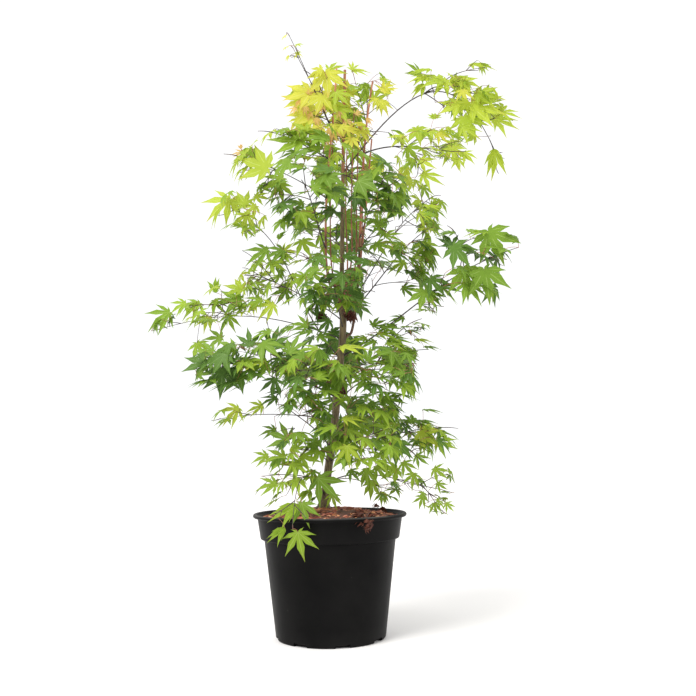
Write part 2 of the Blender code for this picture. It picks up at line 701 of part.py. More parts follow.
def make_mass(mass, stem, trees):
    """One mass of foliage, grown again from the next seed until it is one sound solid."""
    walls = space_walls(mass)
    for attempt in range(GROW_TRIES):
        rng = random.Random(f"{SEED} {mass.name} {attempt}")
        twigs = grow_twigs(mass, stem, rng, walls, trees)
        sprigs = bpy.data.collections.new("sprigs")
        for twig in twigs:
            bm = bmesh.new()
            twig.mesh(bm)
            as_object("twig", bm, collection=sprigs)
        count = grow_leaves(mass, stem, twigs, rng, walls, trees, sprigs)
        part = fused_mass(mass, stem, sprigs)
        for sprig in list(sprigs.objects):
            bpy.data.objects.remove(sprig)
        bpy.data.collections.remove(sprigs)
        keep_largest(part)
        if count == mass.leaves and sound(part):
            break
        if attempt < GROW_TRIES - 1:
            bpy.data.objects.remove(part)


def sound(part):
    """True where the part, its touching corners merged, is closed at every edge."""
    bm = bmesh.new()
    bm.from_mesh(part.data)
    bmesh.ops.triangulate(bm, faces=bm.faces)
    closed = all(edge.is_manifold for edge in bm.edges)
    bmesh.ops.remove_doubles(bm, verts=bm.verts, dist=TOUCHING)
    closed = closed and all(edge.is_manifold for edge in bm.edges)
    bm.free()
    return closed


def keep_largest(part):
    """Drops loose scraps and fills sealed hollows: only the largest shell stays."""
    bm = bmesh.new()
    bm.from_mesh(part.data)
    shells = []
    left = set(bm.verts)
    while left:
        shell = {left.pop()}
        edge = list(shell)
        while edge:
            near = {link.other_vert(vert) for vert in edge for link in vert.link_edges} - shell
            shell |= near
            edge = list(near)
        left -= shell
        shells.append(shell)
    largest = max(shells, key=len)
    for shell in shells:
        if shell is not largest:
            bmesh.ops.delete(bm, geom=list(shell), context="VERTS")
    bm.to_mesh(part.data)
    bm.free()


def make_limb(limb, material):
    bm = bmesh.new()
    limb.mesh(bm)
    part = as_object(limb.name, bm, material)
    shade_round(part, 50.0)
    return part


def main():
    for thing in list(bpy.data.objects):
        bpy.data.objects.remove(thing)
    pot = make_pot()
    soil = make_soil()

    limbs = {"trunk": trunk_limb()}
    for stem in STEMS:
        limbs[stem.name] = stem_limb(stem, limbs["trunk"])
    inner_stems = {}
    for mass in MASSES:
        bough, inner = mass_lines(mass, limbs[mass.host])
        if bough:
            limbs[mass.name] = bough
        inner_stems[mass.name] = inner
    for name, limb in limbs.items():
        make_limb(limb, "bark" if name == "trunk" else "coral_bark")

    vessel = bmesh.new()
    for piece in (pot, soil):
        vessel.from_mesh(piece.data)
    vessel_tree = BVHTree.FromBMesh(vessel)
    vessel.free()
    limb_tree = solid_tree(limbs.values(), CLEARANCE)
    for mass in MASSES:
        others = [stem for name, stem in inner_stems.items() if name != mass.name]
        trees = [vessel_tree, limb_tree, solid_tree(others, CLEARANCE)]
        make_mass(mass, inner_stems[mass.name], trees)


main()
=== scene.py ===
import math
import random
from collections import namedtuple

import bmesh
import bpy
from mathutils import Euler, Matrix, Vector, noise
from mathutils.geometry import interpolate_bezier


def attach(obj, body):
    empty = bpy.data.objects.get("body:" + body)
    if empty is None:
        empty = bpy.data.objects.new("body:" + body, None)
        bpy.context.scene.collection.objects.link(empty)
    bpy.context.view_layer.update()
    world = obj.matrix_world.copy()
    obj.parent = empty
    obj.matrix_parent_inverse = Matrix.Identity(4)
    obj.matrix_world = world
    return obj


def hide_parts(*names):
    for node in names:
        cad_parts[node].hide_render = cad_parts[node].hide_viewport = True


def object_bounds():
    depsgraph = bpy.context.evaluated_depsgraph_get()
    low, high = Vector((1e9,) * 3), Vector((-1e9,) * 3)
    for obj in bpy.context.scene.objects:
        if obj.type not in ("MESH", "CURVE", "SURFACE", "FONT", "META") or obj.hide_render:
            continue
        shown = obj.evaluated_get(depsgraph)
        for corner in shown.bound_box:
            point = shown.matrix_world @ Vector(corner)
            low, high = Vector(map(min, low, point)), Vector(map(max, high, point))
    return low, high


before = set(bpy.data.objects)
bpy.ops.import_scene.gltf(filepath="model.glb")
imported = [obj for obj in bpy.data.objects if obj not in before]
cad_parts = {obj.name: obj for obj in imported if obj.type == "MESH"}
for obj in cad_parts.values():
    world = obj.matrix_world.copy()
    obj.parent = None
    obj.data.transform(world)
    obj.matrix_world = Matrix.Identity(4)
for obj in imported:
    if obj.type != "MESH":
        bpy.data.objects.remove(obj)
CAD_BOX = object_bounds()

UP = Vector((0.0, 0.0, 1.0))
# A direction that no limb sets off along, to square the first ring against
SLANT = Vector((0.31, 0.87, 0.38))
SEED = "maple"
MM = 0.001

# Camera, fitted to the pot's lip, foot and height
PICTURE_PIXELS = 696
FOCAL_PIXELS = 857.3
CAMERA_PLACE = Vector((0.037, -1.5914, 0.3391))
CAMERA_PITCH = 0.1145
CAMERA_ROLL = -0.0131
CAMERA_TURN = (Matrix.Rotation(math.pi / 2 + CAMERA_PITCH, 3, "X")
               @ Matrix.Rotation(CAMERA_ROLL, 3, "Z"))

# Pot and mulch, as the solids have them
POT_HEIGHT = 0.220
POT_FOOT_RADIUS = 0.0990
POT_BODY_TOP_RADIUS = 0.1195
POT_COLLAR_FOOT_RADIUS = 0.1262
POT_COLLAR_TOP_RADIUS = 0.1320
POT_LIP_RADIUS = 0.1400
POT_COLLAR_DEPTH = 0.0440
POT_LIP_ROLL = 0.0035
POT_WALL = 0.0024
POT_FLOOR = 0.0030
POT_CORNER = 0.0040
POT_STEP_SLOPE = 0.0020
POT_RECESS = 0.0018
POT_FOOT_RING = 0.010
POT_RING_SLOPE = 0.002
POT_SIDES = 144
DRAIN_COUNT = 8
DRAIN_TURN = 0.29
DRAIN_WIDTH = 0.026
DRAIN_HEIGHT = 0.0065
DRAIN_REACH = 0.011
DRAIN_CORNER = 0.0022
SOIL_WALL_HEIGHT = 0.211
SOIL_TOP = 0.226
SOIL_FLAT_RADIUS = 0.046
SOIL_WALL_GAP = 0.0052

# Trunk and upright stems
TRUNK_FOOT_RADIUS = 0.0078
TRUNK_FORK_RADIUS = 0.0062
TRUNK_LEADER_RADIUS = 0.0044
TRUNK_TOP_RADIUS = 0.0026
FLARE = 0.0070
FLARE_HEIGHT = 0.011
FORK_HEIGHT = 0.618
FORK_SWELL = 0.0020
FORK_SWELL_HEIGHT = 0.018
FORK_FADE = 0.030
TRUNK_LINE = [
    (-0.012, 0.020, SOIL_TOP), (-0.009, 0.020, 0.250), (-0.002, 0.018, 0.302),
    (0.009, 0.014, 0.370), (0.018, 0.008, 0.460), (0.028, 0.003, 0.556),
    (0.027, 0.000, 0.640), (0.029, 0.000, 0.740), (0.032, 0.002, 0.870),
    (0.038, 0.002, 1.066),
]
Stem = namedtuple("Stem", "name leave rise radius line")
STEMS = [
    Stem("left_stem", 0.44, 50, 0.0036, [
        (0.000, -0.018, 0.665), (-0.002, -0.022, 0.740), (0.003, -0.022, 0.846),
        (0.015, -0.020, 0.965), (0.022, -0.018, 1.060)]),
    Stem("right_stem", 0.37, 50, 0.0036, [
        (0.056, 0.012, 0.632), (0.063, 0.016, 0.747), (0.068, 0.018, 0.845),
        (0.080, 0.020, 0.970), (0.092, 0.020, 1.050)]),
    Stem("back_stem", 0.41, 45, 0.0032, [
        (0.052, 0.050, 0.660), (0.070, 0.062, 0.750), (0.080, 0.064, 0.850),
        (0.090, 0.066, 0.950)]),
]
# Five thinner stems that stand between them
THIN_STEMS = [
    [(0.027, -0.004, 0.596), (0.009, -0.012, 0.668), (0.007, -0.013, 0.780), (0.014, -0.012, 0.930)],
    [(0.028, -0.004, 0.604), (0.038, -0.018, 0.672), (0.036, -0.020, 0.780), (0.040, -0.018, 0.900)],
    [(0.028, 0.002, 0.612), (0.046, -0.010, 0.690), (0.047, -0.013, 0.800), (0.055, -0.010, 0.985)],
    [(0.029, 0.002, 0.600), (0.053, 0.004, 0.680), (0.057, 0.004, 0.800), (0.064, 0.002, 0.960)],
    [(0.028, 0.000, 0.590), (0.061, -0.008, 0.672), (0.068, -0.010, 0.790), (0.074, -0.010, 0.915)],
]
THIN_STEM_RADIUS = 0.0017
THIN_STEM_TIP = 0.0010
# A stem turns up at an elbow some half widths out, shows slimmer than its solid, and
# ends at a share of its own half width
STEM_ELBOW = 4.0
STEM_SLIMNESS = 0.74
STEM_TIP_SHARE = 0.62

# Masses of foliage, in millimetres: host limb and where the line leaves it, whether the
# mass has a bough of its own, the middle and half sizes of its space, the line's slopes
# at its two ends, how many leaves the mass has, their length and tint, and the line's bow
Mass = namedtuple("Mass", "name host leave bough centre half rise fall leaves leaf tint bow")
MASSES_MM = [
    ("gold_crown", "left_stem", 0.76, 0, (-8, 24, 1026), (72, 62, 74), 35, 20, 28, 54, "gold"),
    ("leader_tip", "left_stem", 0.74, 1, (-55, -55, 1086), (28, 30, 34), 62, 60, 4, 18, "gold"),
    ("middle_crown", "right_stem", 0.8, 0, (80, 50, 1008), (66, 66, 90), 40, 30, 30, 48, "lime"),
    ("arch_fall", "trunk", 0.755, 1, (312, 70, 985), (80, 72, 98), 54, -66, 15, 54, "lime", 0.68),
    ("arch_top", "arch_fall", 0.55, 0, (212, 62, 1062), (80, 62, 50), 40, 10, 13, 50, "lime"),
    ("upper_right", "right_stem", 0.72, 1, (192, 0, 905), (78, 68, 68), 20, -10, 18, 48, "lime"),
    ("upper_left", "left_stem", 0.62, 0, (-50, -52, 908), (76, 64, 44), 20, 5, 27, 54, "fresh"),
    ("outer_left", "left_stem", 0.46, 1, (-126, -76, 858), (56, 54, 48), 30, 10, 9, 56, "lime"),
    ("mid_left", "trunk", 0.33, 1, (-160, -20, 779), (66, 62, 54), 50, 25, 10, 50, "lime", 0.45),
    ("dark_left", "left_stem", 0.26, 0, (-27, -118, 790), (74, 78, 76), 25, 5, 32, 60, "deep"),
    ("dark_right", "right_stem", 0.4, 0, (93, -118, 790), (60, 78, 74), 25, 5, 31, 60, "mid"),
    ("mid_right", "right_stem", 0.19, 1, (172, 66, 806), (62, 64, 80), 55, 35, 26, 52, "fresh", 0.4),
    ("far_right", "trunk", 0.335, 1, (262, -88, 660), (80, 74, 78), 25, 15, 14, 64, "deep"),
    ("inner_right", "right_stem", 0.14, 0, (132, -36, 696), (72, 70, 84), 40, 30, 31, 54, "mid"),
    ("shoot_left", "trunk", 0.415, 1, (-109, 22, 655), (62, 62, 74), 40, 30, 24, 48, "fresh"),
    ("far_left", "trunk", 0.375, 1, (-300, 60, 579), (50, 52, 50), 22, -14, 5, 46, "mid", 0.4),
    ("low_left", "far_left", 0.62, 0, (-200, -14, 602), (74, 62, 64), 15, -5, 15, 52, "fresh"),
    ("big_left", "trunk", 0.245, 1, (-147, -80, 492), (92, 80, 70), 25, -8, 32, 64, "deep"),
    ("centre", "trunk", 0.4, 0, (14, -100, 630), (70, 78, 58), 20, 0, 38, 52, "deep"),
    ("front_left", "trunk", 0.22, 0, (-20, -128, 474), (68, 78, 66), 25, 0, 46, 52, "mid"),
    ("front_right", "trunk", 0.235, 0, (102, -124, 474), (68, 76, 64), 25, 0, 46, 52, "mid"),
    ("right_tier", "trunk", 0.28, 1, (152, 34, 522), (66, 70, 68), 25, 0, 40, 54, "mid"),
    ("bare_left", "trunk", 0.195, 1, (-178, 50, 400), (52, 46, 36), 10, -8, 9, 48, "lime"),
    ("low_front_left", "trunk", 0.13, 0, (-52, -98, 392), (68, 74, 62), 35, 20, 34, 50, "mid"),
    ("low_front_right", "trunk", 0.1, 0, (66, -98, 356), (66, 74, 78), 25, 10, 42, 50, "fresh"),
    ("right_low", "trunk", 0.105, 1, (172, 4, 372), (70, 70, 58), 25, 0, 24, 50, "mid"),
    ("right_foot", "trunk", 0.055, 1, (167, 40, 264), (70, 66, 56), 25, -10, 8, 36, "fresh"),
    ("left_foot", "trunk", 0.045, 0, (-74, -62, 290), (62, 66, 58), 30, 5, 16, 44, "fresh"),
    ("rim_spray", "trunk", 0.028, 1, (-56, -166, 234), (46, 32, 34), 25, -78, 0, 30, "lime", 0.55),
    ("back_top", "back_stem", 0.74, 0, (40, 132, 930), (78, 74, 66), 30, 5, 24, 56, "fresh"),
    ("back_upper", "back_stem", 0.36, 0, (0, 150, 794), (84, 82, 72), 30, 5, 28, 60, "mid"),
    ("back_middle", "back_stem", 0.1, 0, (80, 152, 664), (78, 84, 64), 25, 0, 34, 60, "mid"),
    ("back_low", "trunk", 0.27, 0, (-20, 158, 532), (92, 86, 68), 25, 0, 38, 62, "deep"),
    ("back_foot", "trunk", 0.13, 0, (58, 142, 394), (88, 80, 66), 25, 0, 36, 58, "mid"),
]

# Small sprays that stand between the masses, on thin twigs of their own
SPRAYS_MM = [
    ("gold_front", "left_stem", 0.8, 0, (-6, -30, 1026), (38, 40, 34), 50, 30, 4, 56, "gold"),
    ("bronze", "right_stem", 0.72, 0, (46, -30, 930), (44, 44, 32), 40, 10, 9, 34, "bronze"),
    ("second_shoot", "leader_tip", 0.2, 0, (-54, -50, 1076), (18, 20, 16), 66, 62, 3, 22, "gold"),
    ("stem_cover", "right_stem", 0.5, 0, (36, -70, 860), (50, 40, 36), 30, 0, 11, 50, "fresh"),
    ("arch_leaflet", "arch_fall", 0.6, 0, (300, 60, 1092), (34, 40, 16), 60, 10, 2, 36, "lime"),
    ("arch_shoulder", "arch_fall", 0.68, 0, (310, 55, 1032), (44, 46, 34), 20, -10, 5, 52, "lime"),
    ("arch_inner", "arch_fall", 0.55, 0, (246, 50, 1000), (32, 40, 32), -30, -30, 3, 50, "lime"),
    ("arch_point", "arch_fall", 0.85, 0, (352, 60, 992), (34, 40, 38), 0, -30, 4, 48, "lime"),
    ("hanging_pair", "arch_fall", 0.95, 0, (334, 60, 904), (26, 36, 40), -60, -78, 2, 50, "lime"),
    ("under_arch", "upper_right", 0.45, 0, (166, -20, 862), (44, 46, 42), -10, -30, 8, 52, "lime"),
    ("beside_stems", "right_stem", 0.36, 0, (96, -30, 749), (34, 46, 36), 30, 0, 8, 50, "mid"),
    ("far_right_top", "far_right", 0.8, 0, (243, -90, 704), (46, 46, 28), 60, 20, 4, 56, "deep"),
    ("far_right_foot", "far_right", 0.8, 0, (251, -90, 610), (48, 46, 28), -20, -30, 5, 56, "mid"),
    ("right_link", "far_right", 0.5, 0, (171, -50, 597), (42, 44, 34), -10, -10, 8, 48, "mid"),
    ("tier_top", "right_tier", 0.45, 0, (130, -20, 552), (66, 50, 24), 50, 15, 7, 48, "mid"),
    ("left_point", "shoot_left", 0.75, 0, (-140, 0, 700), (34, 40, 26), 50, 20, 3, 50, "fresh"),
    ("left_gap", "outer_left", 0.6, 0, (-99, -60, 815), (32, 42, 34), -20, -20, 6, 50, "mid"),
    ("inner_left", "left_stem", 0.18, 0, (-65, -30, 700), (42, 46, 58), 30, 0, 12, 50, "fresh"),
    ("big_left_top", "big_left", 0.55, 0, (-102, -70, 538), (46, 46, 32), 60, 40, 6, 56, "deep"),
    ("low_centre", "trunk", 0.1, 0, (-35, -90, 336), (42, 46, 34), 20, 0, 6, 50, "fresh"),
    ("low_right_gap", "right_low", 0.55, 0, (148, -30, 328), (38, 46, 34), -20, -30, 6, 48, "mid"),
    ("trunk_foot", "trunk", 0.05, 0, (96, -30, 262), (40, 46, 34), 30, 0, 5, 40, "mid"),
    ("right_foot_low", "right_foot", 0.8, 0, (191, 20, 236), (40, 44, 26), -20, -40, 5, 36, "fresh"),
    ("right_seam", "trunk", 0.16, 0, (82, -60, 419), (60, 60, 26), 25, 10, 14, 50, "mid"),
    ("right_seam_top", "trunk", 0.27, 0, (79, -80, 498), (50, 56, 24), 25, 10, 9, 50, "mid"),
    ("left_seam", "trunk", 0.25, 0, (-78, -60, 491), (40, 50, 34), 25, 0, 8, 52, "deep"),
]

# Sky that shows through and beside the crown, in the photograph's pixels: the middle
# across and down, then half width and half height
OPENING_PIXELS = [
    (388, 292, 19, 22), (435, 364, 14, 30), (185, 341, 27, 14), (264, 118, 18, 13), (402, 112, 11, 18),
    (424, 119, 18, 10), (492, 145, 9, 12), (405, 230, 11, 10), (262, 392, 19, 8), (254, 462, 6, 27),
    (453, 415, 12, 14), (525, 284, 8, 32), (222, 250, 22, 19), (271, 146, 10, 10), (208, 189, 11, 12),
    (442, 170, 22, 8), (304, 243, 8, 9), (297, 178, 10, 8), (382, 120, 9, 11), (289, 422, 19, 8),
    (215, 399, 12, 10), (431, 467, 12, 9), (362, 489, 11, 14), (429, 95, 18, 8), (382, 144, 10, 10),
    (475, 159, 10, 14), (291, 76, 11, 12), (283, 116, 9, 12), (243, 322, 18, 6), (264, 428, 8, 25),
    (512, 282, 8, 26), (196, 286, 14, 7),
]

# Single leaves that stand out in the photograph, by shape and tint: the pixel of the
# photograph where the blade starts and its depth in millimetres, which way its middle
# lobe points as seen from the front, how far the blade leans back from the camera, and
# its length in pixels
Hero = namedtuple("Hero", "base heading lean length kind tint")
HERO_PIXELS = {
    "broad deep": [
        (222, 369, -120, -90, 0, 32), (453, 246, -130, -50, 10, 30), (396, 441, -70, -88, 10, 28),
        (205, 362, -100, -150, 25, 26), (240, 372, -110, -120, 20, 28),
    ],
    "broad fresh": [
        (303, 141, -90, 172, 35, 40), (397, 468, -30, -140, 20, 21),
    ],
    "broad gold": [
        (325, 72, -45, -80, 15, 33), (311, 91, -35, -155, 20, 31), (306, 112, -35, -125, 15, 24),
        (302, 100, -30, 165, 20, 24), (322, 96, -50, -100, 20, 26),
    ],
    "broad lime": [
        (331, 101, -45, -65, 20, 19), (338, 108, -45, -60, 20, 22), (442, 80, 30, 172, 45, 33),
        (462, 81, 30, -25, 30, 21), (476, 94, 30, -12, 35, 32), (471, 107, 20, -10, 25, 38),
        (464, 117, 20, -62, 10, 30), (458, 104, 30, -145, 20, 24), (416, 128, -10, -75, 15, 22),
        (268, 168, -124, 160, 14, 37), (246, 205, -50, 125, 15, 21), (243, 289, -20, 158, 40, 24),
        (420, 431, -40, -40, 20, 26),
    ],
    "broad mid": [
        (303, 166, -100, 178, 60, 36), (241, 299, -20, -165, 35, 30), (488, 231, -120, -62, 5, 40),
        (484, 269, -130, -78, 5, 38), (464, 268, -110, -80, 5, 35), (424, 290, -80, -100, 15, 25),
        (268, 364, -120, -150, 40, 28),
    ],
    "folded bronze": [
        (300, 100, -40, -110, 20, 11), (311, 112, -40, -100, 20, 11), (322, 104, -55, -90, 10, 12),
        (352, 126, -45, -110, 20, 12), (366, 118, -30, -50, 20, 11), (318, 128, -50, -110, 10, 12),
        (241, 149, -80, 100, 20, 9), (454, 274, -100, 60, 20, 10),
    ],
    "folded fresh": [
        (216, 293, 0, 100, 10, 21), (285, 528, -148, -128, 40, 24), (298, 505, -130, -140, 40, 36),
    ],
    "folded lime": [
        (494, 149, 50, -88, 0, 33), (424, 84, 40, -125, 15, 20),
    ],
    "hanging bronze": [
        (305, 106, -45, -80, 10, 12), (316, 118, -45, -70, 20, 12), (360, 122, -40, -80, 20, 12),
        (330, 128, -55, -90, 10, 12), (326, 138, -55, -100, 10, 14),
    ],
    "hanging deep": [
        (324, 294, -70, -100, 10, 22), (333, 288, -75, -80, 10, 24),
    ],
    "hanging fresh": [
        (372, 480, -40, -95, 5, 24), (366, 468, -50, -82, 8, 26),
    ],
    "hanging gold": [
        (380, 100, -10, -60, 10, 20),
    ],
    "open deep": [
        (250, 346, -100, 95, 20, 24), (271, 346, -100, 70, 20, 27), (430, 278, -80, -60, 20, 27),
    ],
    "open fresh": [
        (349, 88, -30, 8, 50, 19), (280, 184, -80, -85, 15, 24), (197, 343, -20, -65, 0, 22),
        (270, 262, -30, -40, 30, 22), (283, 178, -70, -150, 20, 26), (302, 240, -70, -70, 20, 24),
        (426, 243, -50, -90, 20, 26), (285, 457, -80, -172, 38, 26), (298, 532, -150, -82, 5, 31),
        (379, 196, -60, -100, 20, 16), (312, 272, -60, -60, 30, 20), (376, 244, -40, -30, 40, 26),
    ],
    "open gold": [
        (314, 118, -40, -120, 20, 24), (352, 138, -50, -100, 20, 18), (463, 90, 20, -85, 15, 18),
        (298, 118, -30, -80, 15, 20), (312, 128, -50, -60, 20, 22),
    ],
    "open lime": [
        (308, 132, -60, 170, 30, 30), (446, 80, 30, -128, 20, 25), (424, 135, 0, 175, 20, 16),
        (404, 136, -10, -140, 20, 20), (452, 147, 0, -80, 5, 26), (420, 160, -30, -35, 15, 20),
        (436, 118, 30, 88, 35, 12), (230, 199, -30, -138, 15, 34), (247, 214, -50, -105, 10, 24),
        (264, 361, -130, -165, 66, 30), (424, 228, -40, -85, 60, 17), (342, 347, -180, -28, 70, 34),
        (347, 446, -150, -88, 5, 24), (336, 92, -50, -60, 25, 24), (432, 130, 30, -100, 20, 20),
        (255, 196, -60, -20, 30, 18), (256, 206, -50, -140, 20, 20),
    ],
    "open mid": [
        (320, 150, -70, 140, 20, 24), (222, 338, -40, 176, 30, 22), (235, 348, -110, -170, 30, 26),
        (430, 292, -60, -60, 15, 20), (318, 478, -90, -50, 10, 34), (289, 440, -90, 152, 20, 28),
        (302, 503, -128, -78, 15, 27), (384, 398, -100, -30, 50, 26), (213, 352, -80, 170, 20, 22),
        (468, 231, -110, 30, 60, 20), (313, 443, -80, -100, 15, 18), (318, 336, -60, -20, 50, 22),
        (303, 203, -70, -160, 40, 22), (318, 440, -70, -140, 30, 22), (324, 448, -70, -60, 30, 18),
        (306, 216, -60, -150, 20, 24),
    ],
    "slim bronze": [
        (296, 108, -40, -140, 20, 11), (308, 94, -40, 60, 20, 10), (346, 120, -45, -60, 20, 12),
        (340, 112, -50, -120, 20, 10), (355, 114, -40, 30, 20, 11), (243, 153, -80, 172, 30, 14),
    ],
    "slim deep": [
        (275, 378, -120, -105, 10, 25), (318, 300, -60, -100, 15, 24), (330, 320, -60, -140, 20, 22),
        (441, 287, -80, -20, 30, 24), (452, 247, -120, 100, 30, 26), (304, 326, -40, 20, 50, 22),
        (277, 398, -90, -150, 50, 22), (281, 392, -90, 160, 50, 18),
    ],
    "slim fresh": [
        (200, 303, 30, -135, 30, 27), (186, 303, 20, -150, 25, 21), (228, 315, 0, -75, 20, 22),
        (262, 300, -20, -160, 35, 24), (405, 262, -50, -150, 30, 24), (486, 232, -120, 178, 62, 26),
        (403, 462, -30, -60, 20, 20), (338, 362, -180, -165, 72, 34), (335, 427, -160, -162, 62, 29),
        (277, 484, -80, -172, 38, 25), (300, 462, -70, -140, 20, 28), (376, 466, -30, -60, 15, 22),
        (414, 473, 0, -105, 5, 20), (434, 468, 20, -45, 5, 20), (437, 483, 20, -40, 10, 14),
        (423, 496, 20, -115, 5, 16), (434, 503, 20, -82, 5, 15), (446, 503, 20, -55, 10, 13),
        (384, 493, 20, -95, 10, 13), (436, 440, -20, -30, 15, 25), (350, 398, -120, -160, 60, 26),
        (376, 352, -120, -15, 66, 28), (306, 276, -60, -150, 30, 24), (378, 334, -60, 10, 60, 30),
        (366, 338, -70, -170, 60, 24), (384, 236, -30, 20, 40, 24), (214, 300, -20, -60, 20, 20),
        (268, 456, -60, -165, 30, 20), (332, 494, -60, -80, 10, 18), (382, 492, -20, -100, 10, 16),
        (386, 344, -80, 0, 66, 28),
    ],
    "slim gold": [
        (383, 92, 0, 55, 10, 20), (384, 88, 0, 20, 15, 15), (376, 98, 0, -112, 10, 15),
        (333, 124, -50, -85, 10, 20), (346, 128, -50, -40, 20, 19), (360, 128, -40, -70, 15, 20),
        (438, 133, 0, -55, 10, 17), (372, 166, -40, -60, 20, 10), (378, 170, -40, -30, 20, 10),
        (366, 170, -40, -120, 20, 9), (374, 174, -40, -90, 20, 9),
    ],
    "slim lime": [
        (328, 71, -20, 35, 30, 25), (352, 71, 0, 5, 50, 23), (352, 70, -5, 78, 10, 13),
        (495, 119, 40, -32, 20, 28), (470, 65, 50, -8, 78, 30), (422, 174, -30, -38, 25, 27),
        (462, 127, 10, -45, 20, 25), (431, 70, 40, 172, 55, 27), (428, 77, 40, -168, 45, 24),
        (500, 112, 40, -25, 30, 24), (209, 317, 0, -110, 25, 20), (239, 408, 30, -140, 15, 26),
        (263, 406, 30, -168, 30, 20), (274, 304, -20, -140, 20, 26), (419, 213, -40, -42, 20, 23),
        (424, 206, -40, -6, 62, 24), (415, 340, -20, -10, 70, 22), (343, 419, -150, -15, 66, 27),
        (434, 119, 30, 90, 30, 14), (458, 158, 0, -90, 10, 16), (464, 152, 0, -60, 15, 18),
    ],
    "slim mid": [
        (170, 312, 30, -146, 15, 31), (268, 250, -40, -150, 25, 30), (284, 250, -60, -160, 25, 24),
        (308, 326, -50, 160, 20, 22), (402, 288, -40, -20, 40, 24), (396, 326, -30, 176, 62, 26),
        (404, 318, -30, -170, 50, 20), (424, 347, -20, -20, 72, 20), (416, 455, -20, -45, 5, 18),
        (423, 410, -20, -12, 80, 24), (402, 421, -30, 3, 80, 38), (368, 404, -120, -20, 66, 28),
        (455, 233, -110, 150, 60, 24), (350, 470, -90, -60, 30, 18), (372, 326, -40, 40, 40, 22),
        (388, 340, -60, -15, 60, 30), (382, 328, -50, 0, 50, 24), (312, 332, -60, 170, 60, 26),
        (390, 250, -30, -20, 40, 24), (276, 430, -60, -170, 40, 20), (313, 470, -80, -100, 20, 20),
        (376, 342, -70, -170, 60, 28), (418, 421, -20, -3, 78, 24), (352, 300, -60, -20, 40, 22),
    ],
}
# A single leaf farther than this from every joint hangs on a thin twig, not on a stalk
LONGEST_STALK = 0.045

# Limbs as they show. A bough's half width goes with its mass's size, and its line ends
# inside the mass's space, which is a box rounded by a power
CURVE_STEPS = 12
THIN_CURVE_STEPS = 8
LINE_STEPS = 24
TRUNK_SIDES = 32
STEM_SIDES = 16
BOUGH_SIDES = 12
BOUGH_SHARE = 0.018
BOUGH_LEAST = 0.0010
BOUGH_TIP_SHARE = 0.50
SPACE_POWER = 4
TIP_SHARE = 0.60

# Relief of the bark: for its ridges and its fine grain, how often they come round the
# limb and along it, and their share of its half width
# Lumps lie anywhere, and a ring stands out at each joint
RIDGES = (2.0, 22.0, 0.045)
GRAIN = (6.0, 140.0, 0.030)
LUMP_SCALE = 45.0
LUMP_SHARE = 0.05
JOINT_LENGTH = 0.045
JOINT_WIDTH = 0.0016
JOINT_SHARE = 0.09
# The mesh has a ring of vertices at each of these lengths, and a collar at its host
BARK_RING = 0.003
FEWEST_RINGS = 6
COLLAR_SHARE = 0.45
COLLAR_LENGTH = 0.007

# Twigs: opposite pairs that turn a quarter from joint to joint. The first pair stands
# where the limb is well inside its mass, and a long twig has two side twigs of its own
TWIG_RADIUS = 0.0009
TWIG_TIP_RADIUS = 0.0005
TWIG_PAIRS = 4
LEAVES_A_PAIR = 6
FIRST_FILL = 0.9
FIRST_STEP = 0.02
FIRST_LATEST = 0.95
FIRST_PAIR = 0.25
PAIR_GAP = 0.03
TWIG_SPREAD = 55.0
TWIG_SPREAD_RANGE = 16.0
TWIG_WANDER = 0.22
TWIG_REACH = 0.82
TWIG_SHARES = (0.72, 1.0)
TWIG_POINTS = 7
TWIG_LIFT = 0.06
TWIG_LEVEL = 0.40
TWIG_SAGS = (-0.12, 0.06)
TWIG_CROOK = 0.12
TWIG_STEP = 0.004
TWIG_LONGEST = 0.2
TWIG_SHORTEST = 0.018
TIP_TWIG_SHORTEST = 0.004
FORKED_TWIG = 0.045
TWIG_JOINT = 0.55
TWIG_JOINT_RANGE = 0.12
SIDE_TWIG_TURN = 1.1
SIDE_TWIG_REACH = 0.6
SIDE_TWIG_SLIMNESS = 0.75
SIDE_TWIG_SHORTEST = 0.014

# Leaf: lobe angles in degrees, then lengths, and the notches between them
LOBES = [(-118, 0.25), (-77, 0.60), (-38, 0.90), (0, 1.00), (38, 0.90), (77, 0.60), (118, 0.25)]
NOTCHES = [(-160, 0.05), (-98, 0.13), (-57, 0.20), (-19, 0.25), (19, 0.25), (57, 0.20), (98, 0.13),
           (160, 0.05)]
LOBE_COLUMNS = [0.0, 0.24, 0.49, 0.76, 1.0]
LOBE_WIDTHS = [0.0, 0.08, 0.125, 0.042, 0.0]
LOBE_SWAY = 0.16
LOBE_CURLS = (0.8, 1.35)
NEAR_CORNERS = 0.0001
Leaf = namedtuple("Leaf", "turn length kind tint tone")
LEAF_SIZES = (0.80, 1.18)
LEAF_MIDDLE = 0.4
STALK_LENGTHS = (0.30, 0.70)
STALK_RADIUS = 0.00045
STALK_POINTS = 5
STALK_BENDS = (0.4, 0.75)
STALK_ARCH = 0.12

# How a leaf stands: its stalk leaves the twig to the side, ahead and a little up, and
# its blade faces out and hangs down. Each direction wanders by its own share
STALK_SIDE = 0.85
STALK_AHEAD = (0.2, 0.9)
STALK_LIFT = 0.12
STALK_WANDER = 0.25
MASS_OUTWARD = 0.5
OUTWARD_WANDER = 0.40
BLADE_OUTWARD = 0.9
BLADE_FALL = 0.2
BLADE_ALONG = 0.7
BLADE_WANDER = 0.35
BLADE_TILTS = (4, 74, 30)
LAYERED_TILTS = (0, 70, 22)
LAYERED_BELOW = 0.62
